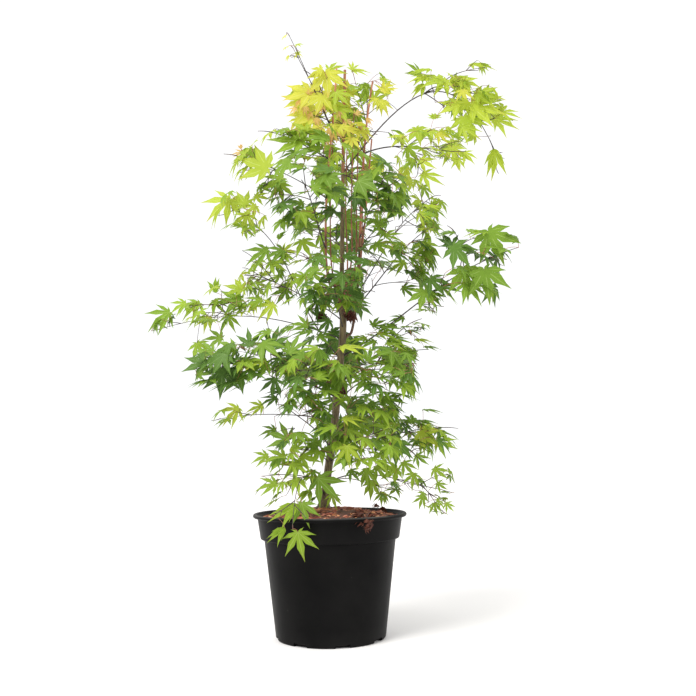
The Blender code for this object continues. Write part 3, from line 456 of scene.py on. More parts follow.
# How a twig's joints are spread, how far apart leaves keep, how far they may stand out,
# and how they settle: each new try wanders further and makes the leaf a little smaller
JOINT_GAP = 0.62
JOINT_SPREAD = 0.97
JOINT_BASE_GAP = 0.4
LEAF_ROOM = 0.46
LEAF_SPILL = 1.5
BOX_SPILL = 0.004
LIP_CLEARANCE = 0.004
GROW_TRIES = 60
SETTLE_WANDER = 0.9
SETTLE_SHRINK = 0.3
# Leaf shapes: how far the lobes curl down, how deep they fold, their breadth, and how
# far they spread
LEAF_KINDS = {
    "broad": (0.08, 0.18, 1.30, 1.00), "broad_bent": (0.26, 0.35, 1.20, 0.92),
    "open": (0.12, 0.22, 1.00, 1.00), "bent": (0.36, 0.30, 1.00, 0.90),
    "slim": (0.16, 0.45, 0.82, 0.84), "hanging": (0.50, 0.45, 0.88, 0.66),
    "folded": (0.28, 0.80, 0.80, 0.46), "dead": (1.25, 0.85, 1.35, 0.80),
}
BIG_LEAF = 0.053
BIG_KINDS = ["broad", "broad_bent", "open", "bent"]
SMALL_KINDS = ["open", "bent", "slim", "hanging", "folded"]
# The darker tints, deep and mid, go mostly to the inner, low and back masses: partly the leaves' own
# darker green, partly painted shade.
TINTS = {
    "gold": {"gold": 0.74, "lime": 0.26},
    "bronze": {"bronze": 0.40, "gold": 0.40, "lime": 0.20},
    "lime": {"lime": 0.60, "fresh": 0.40},
    "fresh": {"fresh": 0.60, "lime": 0.16, "mid": 0.24},
    "mid": {"mid": 0.56, "fresh": 0.18, "deep": 0.26},
    "deep": {"deep": 0.58, "mid": 0.34, "fresh": 0.08},
    "dead": {"dead": 1.0},
}

# Curled brown leaves caught in the crown, on the mulch and on the lip, in millimetres:
# place, how many, and their length
DEAD_CLUMPS = [
    ((-13, -40, 577), 4, 26), ((46, -22, 582), 4, 26), ((12, -16, 466), 7, 28),
    ((24, -18, 448), 5, 24), ((30, -24, 342), 5, 22), ((67, -138, 212), 6, 20),
    ((58, -106, 215), 5, 24), ((72, -98, 214), 4, 22), ((88, 70, 217), 3, 22),
    ((-40, 60, 222), 2, 22), ((60, 84, 217), 2, 22),
]
DEAD_TILT = 1.2
DEAD_STREW = 0.3
DEAD_SIZES = (0.8, 1.2)

# Shards of bark on the mulch, with their rough ends and bends as shares of their length
CHIP_COUNT = 1700
CHIP_KINDS = 9
CHIP_LENGTHS = (0.008, 0.021)
CHIP_WIDTHS = (0.30, 0.62)
CHIP_THICKNESS = (0.09, 0.20)
CHIP_TILT = 0.27
CHIP_LIFT = (-0.0036, 0.0002)
CHIP_CUTS = 2
CHIP_BEND = 0.35
CHIP_TAPER = 0.55
CHIP_JAGS = (0.09, 0.07, 0.03)
CHIP_WALL_ROOM = 0.4

# Angles in degrees past which an edge shows as sharp
LEAF_SHARP = 35.0
BARK_SHARP = 60.0
POT_SHARP = 30.0
CHIP_SHARP = 25.0


def mass_from(name, host, leave, bough, centre, half, rise, fall, leaves, leaf, tint, bow=0.35):
    """A row of the tables of masses, in metres."""
    return Mass(name, host, leave, bough, Vector(centre) * MM, Vector(half) * MM, rise, fall,
                leaves, leaf * MM, tint, bow)


def hero_from(across, down, depth, heading, lean, length, kind, tint):
    """A row of the table of single leaves, put where the camera sees its pixel."""
    middle = PICTURE_PIXELS / 2
    ray = CAMERA_TURN @ Vector((across - middle, middle - down, -FOCAL_PIXELS))
    pixel = (depth * MM - CAMERA_PLACE.y) / ray.y
    return Hero(CAMERA_PLACE + ray * pixel, heading, lean, length * pixel, kind, tint)


MASSES = [mass_from(*row) for row in MASSES_MM]
SPRAYS = [mass_from(*row) for row in SPRAYS_MM]
HEROES = [hero_from(*row, *key.split()) for key, rows in HERO_PIXELS.items() for row in rows]


def between(start, end, share):
    """The value at a share of the way from one to another."""
    return start + (end - start) * share


def tapered(start, end, count):
    """Half widths that change evenly from the first point of a line to the last."""
    return [between(start, end, index / (count - 1)) for index in range(count)]


def rising(value, middle, width):
    """0 well below the middle, 1 well above it, and a smooth change over the width."""
    return 0.5 + 0.5 * math.tanh((value - middle) / width)


def swelling(distance, width):
    """1 at no distance, and soon 0 past the width."""
    return math.exp(-(distance / width) ** 2)


def level_way(vector):
    """The level direction that a vector leans towards."""
    return Vector((vector.x, vector.y, 0.0)).normalized()


def sloping(level, degrees):
    """The direction that rises above a level one by so many degrees."""
    return level * math.cos(math.radians(degrees)) + UP * math.sin(math.radians(degrees))


def wander(rng, amount):
    """A random vector with no part longer than the amount."""
    return Vector([rng.uniform(-amount, amount) for _ in range(3)])


def placed(name, data):
    """A new object of the scene for a mesh, a curve, a lamp or a camera."""
    made = bpy.data.objects.new(name, data)
    bpy.context.scene.collection.objects.link(made)
    return made


def mesh_from(name, bm):
    """A mesh with what the bmesh holds, which is then done with."""
    shape = bpy.data.meshes.new(name)
    bm.to_mesh(shape)
    bm.free()
    return shape


def finished_mesh(thing):
    """The mesh that an object shows, with its modifiers or its tubes worked out."""
    bpy.context.view_layer.update()
    seen = thing.evaluated_get(bpy.context.evaluated_depsgraph_get())
    return bpy.data.meshes.new_from_object(seen)


def add_copy(bm, shape, turn, tone):
    """Adds a placed copy of a shape to the bmesh, with its own tone."""
    start = len(bm.verts)
    bm.from_mesh(shape)
    bm.verts.ensure_lookup_table()
    layer = bm.verts.layers.float["tone"]
    fresh = bm.verts[start:]
    for vert in fresh:
        vert[layer] = tone
    bmesh.ops.transform(bm, matrix=turn, verts=fresh)


def as_piece(name, bm, material, nodes=(), sharp=LEAF_SHARP):
    """Turns the bmesh into a piece of the plant that rides on its one body."""
    shape = mesh_from(name, bm)
    made = placed(name, shape)
    shape.materials.append(material)
    shape.shade_smooth()
    shape.set_sharp_from_angle(angle=math.radians(sharp))
    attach(made, "root")
    if nodes:
        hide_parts(*nodes)
    return made


class Limb:
    """A tapering round limb: its line and its half widths."""

    def __init__(self, name, line, radii):
        self.name = name
        self.line = [Vector(point) for point in line]
        self.radii = list(radii)
        self.runs = [(end - start).length for start, end in zip(self.line, self.line[1:])]
        self.length = sum(self.runs)

    def place(self, share):
        """The point, direction and half width at a share of the limb's length."""
        left = share * self.length
        for index, run in enumerate(self.runs):
            if left <= run or index == len(self.runs) - 1:
                part = min(left / run, 1.0)
                start, end = self.line[index], self.line[index + 1]
                radius = self.radii[index] * (1 - part) + self.radii[index + 1] * part
                return start.lerp(end, part), (end - start).normalized(), radius
            left -= run


def smooth_line(points, steps):
    """Points along a smooth curve through the given ones: each handle is a sixth of the
    way between its point's neighbours."""
    points = [Vector(point) for point in points]
    padded = [points[0]] + points + [points[-1]]
    line = [points[0]]
    for before, start, end, after in zip(padded, padded[1:], padded[2:], padded[3:]):
        line += interpolate_bezier(start, start + (end - before) / 6,
                                   end - (after - start) / 6, end, steps + 1)[1:]
    return line


def trunk_limb():
    """The trunk: flared foot, slow taper to the swollen fork, then the slim leader."""
    line = smooth_line(TRUNK_LINE, CURVE_STEPS)
    radii = []
    for point in line:
        risen = point.z - SOIL_TOP
        past = point.z - FORK_HEIGHT
        below = between(TRUNK_FOOT_RADIUS, TRUNK_FORK_RADIUS, risen / (FORK_HEIGHT - SOIL_TOP))
        above = between(TRUNK_LEADER_RADIUS, TRUNK_TOP_RADIUS, past / (line[-1].z - FORK_HEIGHT))
        change = rising(point.z, FORK_HEIGHT, FORK_FADE)
        flare = FLARE * math.exp(-risen / FLARE_HEIGHT)
        swell = FORK_SWELL * swelling(past, FORK_SWELL_HEIGHT)
        radii.append(below * (1 - change) + above * change + flare + swell)
    return Limb("trunk", line, radii)


def clear_start(host, leave, towards, rise, radius):
    """Where a limb sets off from its host's side, and in which direction."""
    point, along, host_radius = host.place(leave)
    departure = sloping(level_way(towards - point), rise)
    angle = departure.angle(along)
    distance = (host_radius + radius * abs(math.cos(angle))) / math.sin(angle)
    return point, point + departure * distance, departure


def stem_limb(stem, trunk):
    """An upright stem, from inside the trunk to its tip."""
    root, start, departure = clear_start(trunk, stem.leave, Vector(stem.line[0]), stem.rise,
                                         stem.radius)
    elbow = start + departure * STEM_ELBOW * stem.radius
    line = [root] + smooth_line([start, elbow] + stem.line, CURVE_STEPS)
    return Limb(stem.name, line, tapered(stem.radius, STEM_TIP_SHARE * stem.radius, len(line)))


def reach(mass, direction):
    """How far the mass's rounded box reaches from its centre in a direction."""
    total = sum(abs(part / half) ** SPACE_POWER for part, half in zip(direction, mass.half))
    return total ** (-1 / SPACE_POWER)


def fill(mass, point):
    """0 at the middle of the mass's space, 1 at its edge and more outside."""
    return sum(((part - middle) / half) ** SPACE_POWER
               for part, middle, half in zip(point, mass.centre, mass.half))


def mass_limb(mass, host):
    """The limb that carries a mass, from inside its host to well into the mass."""
    radius = max(BOUGH_LEAST, BOUGH_SHARE * mass.half[0])
    root, start, along = clear_start(host, mass.leave, mass.centre, mass.rise, radius)
    arrival = sloping(level_way(mass.centre - start), mass.fall)
    tip = mass.centre + arrival * reach(mass, arrival) * TIP_SHARE
    handle = (tip - start).length * mass.bow
    line = interpolate_bezier(start, start + along * handle, tip - arrival * handle, tip,
                              LINE_STEPS)
    radii = tapered(radius, BOUGH_TIP_SHARE * radius, LINE_STEPS + 1)
    return Limb(mass.name, [root] + line, radii[:1] + radii)


def side_ways(along, index):
    """The two opposite sides of a twig where a pair sits, turning a quarter each time."""
    flat = along.cross(UP)
    flat = flat.normalized() if flat.length > 0.01 else Vector((1.0, 0.0, 0.0))
    side = flat if index % 2 == 0 else flat.cross(along).normalized()
    return side, -side


def in_pot(point):
    """Whether a point lies in the pot, or hardly above its lip."""
    low = point.z < POT_HEIGHT + LIP_CLEARANCE
    return low and math.hypot(point.x, point.y) < POT_LIP_RADIUS


def in_box(point):
    """Whether a point lies in the box of the solids, or hardly outside."""
    return all(low - BOX_SPILL <= part <= high + BOX_SPILL
               for low, part, high in zip(CAD_BOX[0], point, CAD_BOX[1]))


def in_sky(point):
    """Whether the camera sees a point in an opening of the crown."""
    seen = CAMERA_TURN.transposed() @ (point - CAMERA_PLACE)
    across = PICTURE_PIXELS / 2 - FOCAL_PIXELS * seen.x / seen.z
    down = PICTURE_PIXELS / 2 + FOCAL_PIXELS * seen.y / seen.z
    return any(((across - middle) / half_width) ** 2 + ((down - level) / half_height) ** 2 < 1.0
               for middle, level, half_width, half_height in OPENING_PIXELS)


def twig_from(base, way, mass, share, rng):
    """A thin twig that bends towards the level and stops short of the space's edge."""
    length = 0.0
    while fill(mass, base + way * length) < 1.0 and length < TWIG_LONGEST:
        length += TWIG_STEP
    length *= share
    bend = UP * (-TWIG_LEVEL * way.z + rng.uniform(*TWIG_SAGS)) + wander(rng, TWIG_CROOK)
    line = []
    for step in range(TWIG_POINTS):
        part = step / (TWIG_POINTS - 1)
        line.append(base + way * length * part + bend * length * part * part)
    return Limb("twig", line, tapered(TWIG_RADIUS, TWIG_TIP_RADIUS, TWIG_POINTS))


def grow_twigs(mass, limb, rng):
    """Opposite pairs of twigs inside the space, their own side twigs, and a leader."""
    first = 0.0
    while first < FIRST_LATEST and fill(mass, limb.place(first)[0]) > FIRST_FILL:
        first += FIRST_STEP
    twigs = []
    pairs = min(TWIG_PAIRS, 1 + mass.leaves // LEAVES_A_PAIR)
    for index in range(pairs):
        share = first + (1.0 - first) * (index + FIRST_PAIR) / pairs
        for turn in (0, 1):
            base, along, _ = limb.place(min(share + PAIR_GAP * turn, 1.0))
            side = side_ways(along, index)[turn]
            spread = math.radians(TWIG_SPREAD + rng.uniform(-1, 1) * TWIG_SPREAD_RANGE)
            way = (along * math.cos(spread) + side * math.sin(spread) + UP * TWIG_LIFT
                   + wander(rng, TWIG_WANDER)).normalized()
            twig = twig_from(base, way, mass, TWIG_REACH * rng.uniform(*TWIG_SHARES), rng)
            if twig.length > TWIG_SHORTEST and not in_pot(twig.line[-1]):
                twigs.append(twig)
    tip, along, _ = limb.place(1.0)
    twigs.append(twig_from(tip, (along + wander(rng, TWIG_WANDER)).normalized(), mass,
                           TWIG_REACH, rng))
    for twig in list(twigs):
        if twig.length < FORKED_TWIG:
            continue
        for turn in (0, 1):
            base, along, _ = twig.place(
                TWIG_JOINT + rng.uniform(-TWIG_JOINT_RANGE, TWIG_JOINT_RANGE))
            side = side_ways(along, turn)[turn]
            way = (along + side * SIDE_TWIG_TURN + wander(rng, TWIG_WANDER)).normalized()
            small = twig_from(base, way, mass, SIDE_TWIG_REACH * TWIG_REACH, rng)
            if small.length > SIDE_TWIG_SHORTEST and not in_pot(small.line[-1]):
                small.radii = [SIDE_TWIG_SLIMNESS * radius for radius in small.radii]
                twigs.append(small)
    return [twig for twig in twigs if twig.length > TIP_TWIG_SHORTEST
            and not in_sky(twig.line[-1]) and in_box(twig.line[-1])]


def blade_turn(base, ahead, normal):
    """Puts a blade at its base, with its face along the normal and its middle lobe ahead."""
    ahead = (ahead - normal * ahead.dot(normal)).normalized()
    turn = Matrix((ahead, normal.cross(ahead), normal)).transposed().to_4x4()
    return Matrix.Translation(base) @ turn


def leaf_place(rng, mass, root, along, side, length, settle):
    """A stalk from a twig's joint, and a blade at its end that faces out and hangs down."""
    stalk = (side * STALK_SIDE + along * rng.uniform(*STALK_AHEAD) + UP * STALK_LIFT
             + wander(rng, STALK_WANDER + settle)).normalized()
    base = root + stalk * length * rng.uniform(*STALK_LENGTHS)
    outward = level_way(base - mass.centre) * MASS_OUTWARD + level_way(base)
    outward = level_way(outward + wander(rng, OUTWARD_WANDER + settle))
    layered = mass.centre.z < LAYERED_BELOW and mass.leaf < BIG_LEAF
    tilt = math.radians(rng.triangular(*(LAYERED_TILTS if layered else BLADE_TILTS)))
    normal = UP * math.cos(tilt) + outward * math.sin(tilt)
    ahead = (outward * BLADE_OUTWARD - UP * BLADE_FALL + stalk * BLADE_ALONG
             + wander(rng, BLADE_WANDER + settle))
    return base, blade_turn(base, ahead, normal)


def leaf_spots(turn, length):
    """The tips of a leaf's lobes, and its middle last."""
    spots = [Vector((math.cos(math.radians(angle)), math.sin(math.radians(angle)), 0.0))
             * share * length for angle, share in LOBES]
    return [turn @ spot for spot in spots + [Vector((LEAF_MIDDLE * length, 0.0, 0.0))]]


def grow_leaves(mass, twigs, rng):
    """Opposite leaves at the joints of the twigs, the outer joints first."""
    joints = []
    for twig in twigs:
        count = max(1, round(twig.length / (JOINT_GAP * mass.leaf)))
        for step in range(count):
            share = 1.0 - JOINT_SPREAD * step / (count + JOINT_BASE_GAP)
            for turn in (0, 1):
                joints.append((step + rng.random(), twig, share, step, turn))
    joints.sort(key=lambda joint: joint[0])
    leaves = []
    stalks = []
    middles = [hero.base for hero in HEROES]
    for _, twig, share, step, turn in joints:
        if len(leaves) >= mass.leaves:
            break
        root, along, _ = twig.place(share)
        side = side_ways(along, step)[turn]
        for attempt in range(GROW_TRIES):
            settle = SETTLE_WANDER * attempt / GROW_TRIES
            length = (mass.leaf * rng.uniform(*LEAF_SIZES)
                      * (1.0 - SETTLE_SHRINK * attempt / GROW_TRIES))
            base, placing = leaf_place(rng, mass, root, along, side, length, settle)
            spots = leaf_spots(placing, length)
            if any(fill(mass, spot) > LEAF_SPILL or in_pot(spot) or in_sky(spot)
                   or not in_box(spot) for spot in spots):
                continue
            if any((spots[-1] - other).length < LEAF_ROOM * length for other in middles):
                continue
            middles.append(spots[-1])
            tint = rng.choices(list(TINTS[mass.tint]), list(TINTS[mass.tint].values()))[0]
            kind = rng.choice(BIG_KINDS if mass.leaf >= BIG_LEAF else SMALL_KINDS)
            leaves.append(Leaf(placing, length, kind, tint, rng.random()))
            stalks.append(stalk_line(root, base))
            break
    return leaves, stalks


def stalk_line(root, base):
    """A leaf's stalk, arched a little upwards."""
    lift = UP * STALK_ARCH * (base - root).length
    near, far = (root.lerp(base, share) + lift for share in STALK_BENDS)
    return interpolate_bezier(root, near, far, base, STALK_POINTS)


def hero_leaf(hero, rng):
    """A leaf placed one by one: it faces the camera, leans back and points where it should."""
    heading, lean = math.radians(hero.heading), math.radians(hero.lean)
    normal = Vector((0.0, -math.cos(lean), math.sin(lean)))
    ahead = Vector((math.cos(heading), 0.0, math.sin(heading)))
    turn = blade_turn(hero.base, ahead, normal)
    return Leaf(turn, hero.length, hero.kind, hero.tint, rng.random())


def dead_leaf(place, size, rng):
    """A withered leaf that lies or hangs at any angle near a place in millimetres."""
    tilts = [rng.uniform(-DEAD_TILT, DEAD_TILT), rng.uniform(-DEAD_TILT, DEAD_TILT)]
    turn = Euler(tilts + [rng.uniform(0.0, math.tau)]).to_matrix().to_4x4()
    middle = Matrix.Translation((Vector(place) + wander(rng, DEAD_STREW * size)) * MM)
    length = size * MM * rng.uniform(*DEAD_SIZES)
    return Leaf(middle @ turn, length, "dead", "dead", rng.random())


def leaf_shape(droop, fold, breadth, spread, rng):
    """A lobed leaf as a thin sheet of unit length, creased along each lobe and hanging
    towards its tips. Its base is at the origin and its middle lobe runs along +X."""
    bm = bmesh.new()
    rib = bm.verts.layers.float.new("rib")
    run = bm.verts.layers.float.new("run")
    bm.verts.layers.float.new("tone")
    tip = len(LOBE_COLUMNS) - 1
    for index, (degrees, length) in enumerate(LOBES):
        start = len(bm.verts)
        bmesh.ops.create_grid(bm, x_segments=tip, y_segments=2, size=1.0)
        bm.verts.ensure_lookup_table()
        sway = rng.uniform(-LOBE_SWAY, LOBE_SWAY)
        curl = 2.0 * droop * rng.uniform(*LOBE_CURLS)
        for vert in bm.verts[start:]:
            column, side = round((vert.co.x + 1.0) * tip / 2), round(vert.co.y)
            along = LOBE_COLUMNS[column] * length
            width = side * LOBE_WIDTHS[column] * length * breadth
            place = Vector((math.sin(curl * along) / curl, width, 0.0))
            place.rotate(Matrix.Rotation(math.radians(degrees * spread) + sway * along, 3, "Z"))
            if column == 1 and side:
                angle, share = NOTCHES[index + (side > 0)]
                angle, share = math.radians(angle * spread), share * (0.5 + 0.5 * breadth)
                place = Vector((share * math.cos(angle), share * math.sin(angle), 0.0))
                place.z = 0.5 * fold * LOBE_WIDTHS[1] - droop * share * share
            else:
                place.z = fold * abs(width) - (1.0 - math.cos(curl * along)) / curl
            vert.co = place
            vert[rib] = 1.0 - abs(side) if column < tip else 0.5
            vert[run] = along
    bmesh.ops.remove_doubles(bm, verts=bm.verts, dist=NEAR_CORNERS)
    return mesh_from("leaf_shape", bm)


def leaves_piece(tint, leaves, shapes):
    """All the leaves of one tint, each a placed copy of one of the leaf shapes."""
    bm = bmesh.new()
    for leaf in leaves:
        add_copy(bm, shapes[leaf.kind], leaf.turn @ Matrix.Scale(leaf.length, 4), leaf.tone)
    nodes = ["foliage_" + mass.name for mass in MASSES if mass.tint == tint]
    as_piece("leaves_" + tint, bm, leaf_material(tint), nodes)


def tubes_piece(name, runs, resolution, look):
    """Thin round tubes along many lines, joined into one mesh."""
    curve = bpy.data.curves.new(name + "_lines", "CURVE")
    curve.dimensions = "3D"
    curve.bevel_depth = 1.0
    curve.bevel_resolution = resolution
    curve.use_fill_caps = True
    for line, radii in runs:
        spline = curve.splines.new("POLY")
        spline.points.add(len(line) - 1)
        for point, place, radius in zip(spline.points, line, radii):
            point.co = (*place, 1.0)
            point.radius = radius
    guide = placed(name + "_lines", curve)
    bm = bmesh.new()
    bm.from_mesh(finished_mesh(guide))
    bpy.data.objects.remove(guide)
    as_piece(name, bm, bark_material(look))


def bark_relief(around, run, point):
    """How far the bark stands out, as a share of the half width: ridges, pits and joints."""
    relief = 0.0
    for turns, along, share in (RIDGES, GRAIN):
        spot = Vector((turns * math.cos(around), turns * math.sin(around), along * run))
        relief += share * noise.noise(spot)
    off = (run + 0.5 * JOINT_LENGTH) % JOINT_LENGTH - 0.5 * JOINT_LENGTH
    relief += LUMP_SHARE * noise.noise(point * LUMP_SCALE)
    return relief + JOINT_SHARE * swelling(off, JOINT_WIDTH)


def add_bark(bm, limb, sides, coral):
    """Adds a limb as bridged rings with the relief of bark, a collar where it leaves its
    host, and how coral it is at each height."""
    tinge = bm.verts.layers.float.get("coral") or bm.verts.layers.float.new("coral")
    across = limb.place(0.0)[1].cross(SLANT).normalized()
    steps = max(FEWEST_RINGS, round(limb.length / BARK_RING))
    rings = []
    for step in range(steps + 1):
        share = step / steps
        point, along, radius = limb.place(share)
        across = (across - along * across.dot(along)).normalized()
        turn = Matrix((across, along.cross(across), along)).transposed().to_4x4()
        run = share * limb.length
        if limb.name != "trunk":
            radius *= 1.0 + COLLAR_SHARE * math.exp(-run / COLLAR_LENGTH)
        ring = bmesh.ops.create_circle(bm, cap_ends=step in (0, steps), segments=sides,
                                       radius=radius, matrix=Matrix.Translation(point) @ turn)
        for index, vert in enumerate(ring["verts"]):
            relief = bark_relief(math.tau * index / sides, run, point)
            vert.co = point + (vert.co - point) * (1.0 + relief)
            vert[tinge] = coral(point)
        rings.append(list(dict.fromkeys(
            edge for vert in ring["verts"] for edge in vert.link_edges
            if not edge.is_manifold and all(end in ring["verts"] for end in edge.verts))))
    for lower, upper in zip(rings, rings[1:]):
        bmesh.ops.bridge_loops(bm, edges=lower + upper)


def turned(profile, sides):
    """A closed turned shape: its half profile starts and ends on the Z axis."""
    bm = bmesh.new()
    corners = [bm.verts.new((radius, 0.0, height)) for radius, height in profile]
    for start, end in zip(corners, corners[1:]):
        bm.edges.new((start, end))
    bmesh.ops.spin(bm, geom=bm.verts[:] + bm.edges[:], cent=(0, 0, 0), axis=(0, 0, 1),
                   angle=math.tau, steps=sides, use_merge=True)
    bmesh.ops.remove_doubles(bm, verts=bm.verts, dist=0.00001)
    bmesh.ops.recalc_face_normals(bm, faces=bm.faces)
    return bm


def arc(centre_radius, centre_height, radius, start, end, steps):
    """Points of a round corner of the profile, between two angles in degrees."""
    angles = [math.radians(start + (end - start) * step / steps) for step in range(steps + 1)]
    return [(centre_radius + radius * math.cos(angle), centre_height + radius * math.sin(angle))
            for angle in angles]


def pot_profile():
    """The pot's half profile: up its outside, over the rolled lip and down its inside.
    The small figures beside the named sizes ease its edges, as a mould leaves them."""
    step = POT_HEIGHT - POT_COLLAR_DEPTH
    step_foot = step - POT_STEP_SLOPE
    lip_height = POT_HEIGHT - POT_LIP_ROLL
    under_lip = lip_height - POT_LIP_ROLL
    corner = POT_FOOT_RADIUS - POT_CORNER
    inside = POT_COLLAR_TOP_RADIUS - POT_WALL
    return [
        (0.0, POT_RECESS),
        (corner - POT_FOOT_RING - POT_RING_SLOPE, POT_RECESS),
        (corner - POT_FOOT_RING, 0.0),
        *arc(corner, POT_CORNER, POT_CORNER, -90, 0, 5),
        (POT_BODY_TOP_RADIUS - 0.0004, step_foot - 0.0030),
        (POT_BODY_TOP_RADIUS, step_foot),
        (POT_BODY_TOP_RADIUS + 0.0012, step_foot + 0.0006),
        (POT_COLLAR_FOOT_RADIUS - 0.0010, step - 0.0006),
        (POT_COLLAR_FOOT_RADIUS, step + 0.0006),
        (POT_COLLAR_TOP_RADIUS - 0.0004, under_lip - 0.0016),
        (POT_COLLAR_TOP_RADIUS + 0.0008, under_lip - 0.0002),
        *arc(POT_LIP_RADIUS - POT_LIP_ROLL, lip_height, POT_LIP_ROLL, -70, 180, 12),
        (inside + 0.0006, under_lip + 0.0004),
        (inside, under_lip - 0.0010),
        (POT_COLLAR_FOOT_RADIUS - POT_WALL, step + POT_WALL),
        (POT_BODY_TOP_RADIUS - POT_WALL, step_foot + POT_WALL),
        (POT_FOOT_RADIUS - POT_WALL, POT_FLOOR),
        (0.0, POT_FLOOR),
    ]


def drain_cutter():
    """Blocks with round edges that cut the drain slots through the foot of the pot."""
    bm = bmesh.new()
    for index in range(DRAIN_COUNT):
        turn = Matrix.Rotation(math.tau * (index + DRAIN_TURN) / DRAIN_COUNT, 4, "Z")
        slot = Matrix.Diagonal((2 * DRAIN_REACH, DRAIN_WIDTH, 2 * DRAIN_HEIGHT, 1.0))
        block = bmesh.ops.create_cube(
            bm, size=1.0, matrix=turn @ Matrix.Translation((POT_FOOT_RADIUS, 0, 0)) @ slot)
        out = turn.col[0].xyz
        edges = dict.fromkeys(
            edge for vert in block["verts"] for edge in vert.link_edges
            if (edge.verts[0].co - edge.verts[1].co).normalized().dot(out) ** 2 > 0.5)
        bmesh.ops.bevel(bm, geom=list(edges), offset=DRAIN_CORNER, offset_type="OFFSET",
                        segments=3, profile=0.5, affect="EDGES", material=-1, clamp_overlap=True)
    return placed("drain_cutter", mesh_from("drain_cutter", bm))


def make_pot():
    """Thin-walled pot: tapered body, stepped collar, rolled lip and drain slots."""
    bm = turned(pot_profile(), POT_SIDES)
    pot = as_piece("pot_shell", bm, pot_material(), ["pot"], POT_SHARP)
    cutter = drain_cutter()
    slots = pot.modifiers.new("drain slots", "BOOLEAN")
    slots.operation = "DIFFERENCE"
    slots.object = cutter
    cut = finished_mesh(pot)
    pot.modifiers.clear()
    pot.data = cut
    cut.set_sharp_from_angle(angle=math.radians(POT_SHARP))
    bpy.data.objects.remove(cutter)


def heap_height(radius):
    """The mulch's height at a distance from the pot's middle."""
    wall = POT_COLLAR_TOP_RADIUS - SOIL_WALL_GAP
    part = min(max((radius - SOIL_FLAT_RADIUS) / (wall - SOIL_FLAT_RADIUS), 0.0), 1.0)
    return SOIL_TOP - (SOIL_TOP - SOIL_WALL_HEIGHT) * part


def chip_shape(rng):
    """A shard of bark of unit length: a slab, cut across, bent and broken at its ends."""
    bm = bmesh.new()
    bm.verts.layers.float.new("tone")
    width, thick = rng.uniform(*CHIP_WIDTHS), rng.uniform(*CHIP_THICKNESS)
    bmesh.ops.create_cube(bm, size=1.0, matrix=Matrix.Diagonal((1.0, width, thick, 1.0)))
    long_edges = [edge for edge in bm.edges if edge.calc_length() > 0.9]
    bmesh.ops.subdivide_edges(bm, edges=long_edges, cuts=CHIP_CUTS, use_grid_fill=True)
    bend = rng.uniform(-CHIP_BEND, CHIP_BEND)
    long_jag, wide_jag, deep_jag = CHIP_JAGS
    for vert in bm.verts:
        taper = 1.0 - CHIP_TAPER * abs(2 * vert.co.x) ** 3
        vert.co.y = vert.co.y * taper + rng.uniform(-wide_jag, wide_jag)
        vert.co.z = vert.co.z * taper + bend * vert.co.x ** 2 + rng.uniform(-deep_jag, deep_jag)
        vert.co.x += rng.uniform(-long_jag, long_jag)
    return mesh_from("chip_shape", bm)


def make_mulch():
    """Shards of bark strewn over the compost, close together and a few deep."""
    rng = random.Random(SEED + " mulch")
    shapes = [chip_shape(rng) for _ in range(CHIP_KINDS)]
    wall = POT_COLLAR_TOP_RADIUS - SOIL_WALL_GAP
    bm = bmesh.new()
    for _ in range(CHIP_COUNT):
        length = rng.uniform(*CHIP_LENGTHS)
        around = rng.uniform(0.0, math.tau)
        radius = (wall - CHIP_WALL_ROOM * length) * math.sqrt(rng.random())
        height = heap_height(radius) + rng.uniform(*CHIP_LIFT)
        tilt = Matrix.Rotation(rng.uniform(-CHIP_TILT, CHIP_TILT), 4, "X")
        pitch = Matrix.Rotation(rng.uniform(-CHIP_TILT, CHIP_TILT), 4, "Y")
        spin = Matrix.Rotation(rng.uniform(0.0, math.tau), 4, "Z")
        place = Matrix.Translation((radius * math.cos(around), radius * math.sin(around), height))
        turn = place @ spin @ tilt @ pitch @ Matrix.Scale(length, 4)
        add_copy(bm, rng.choice(shapes), turn, rng.random())
    as_piece("mulch_chips", bm, chip_material(), (), CHIP_SHARP)


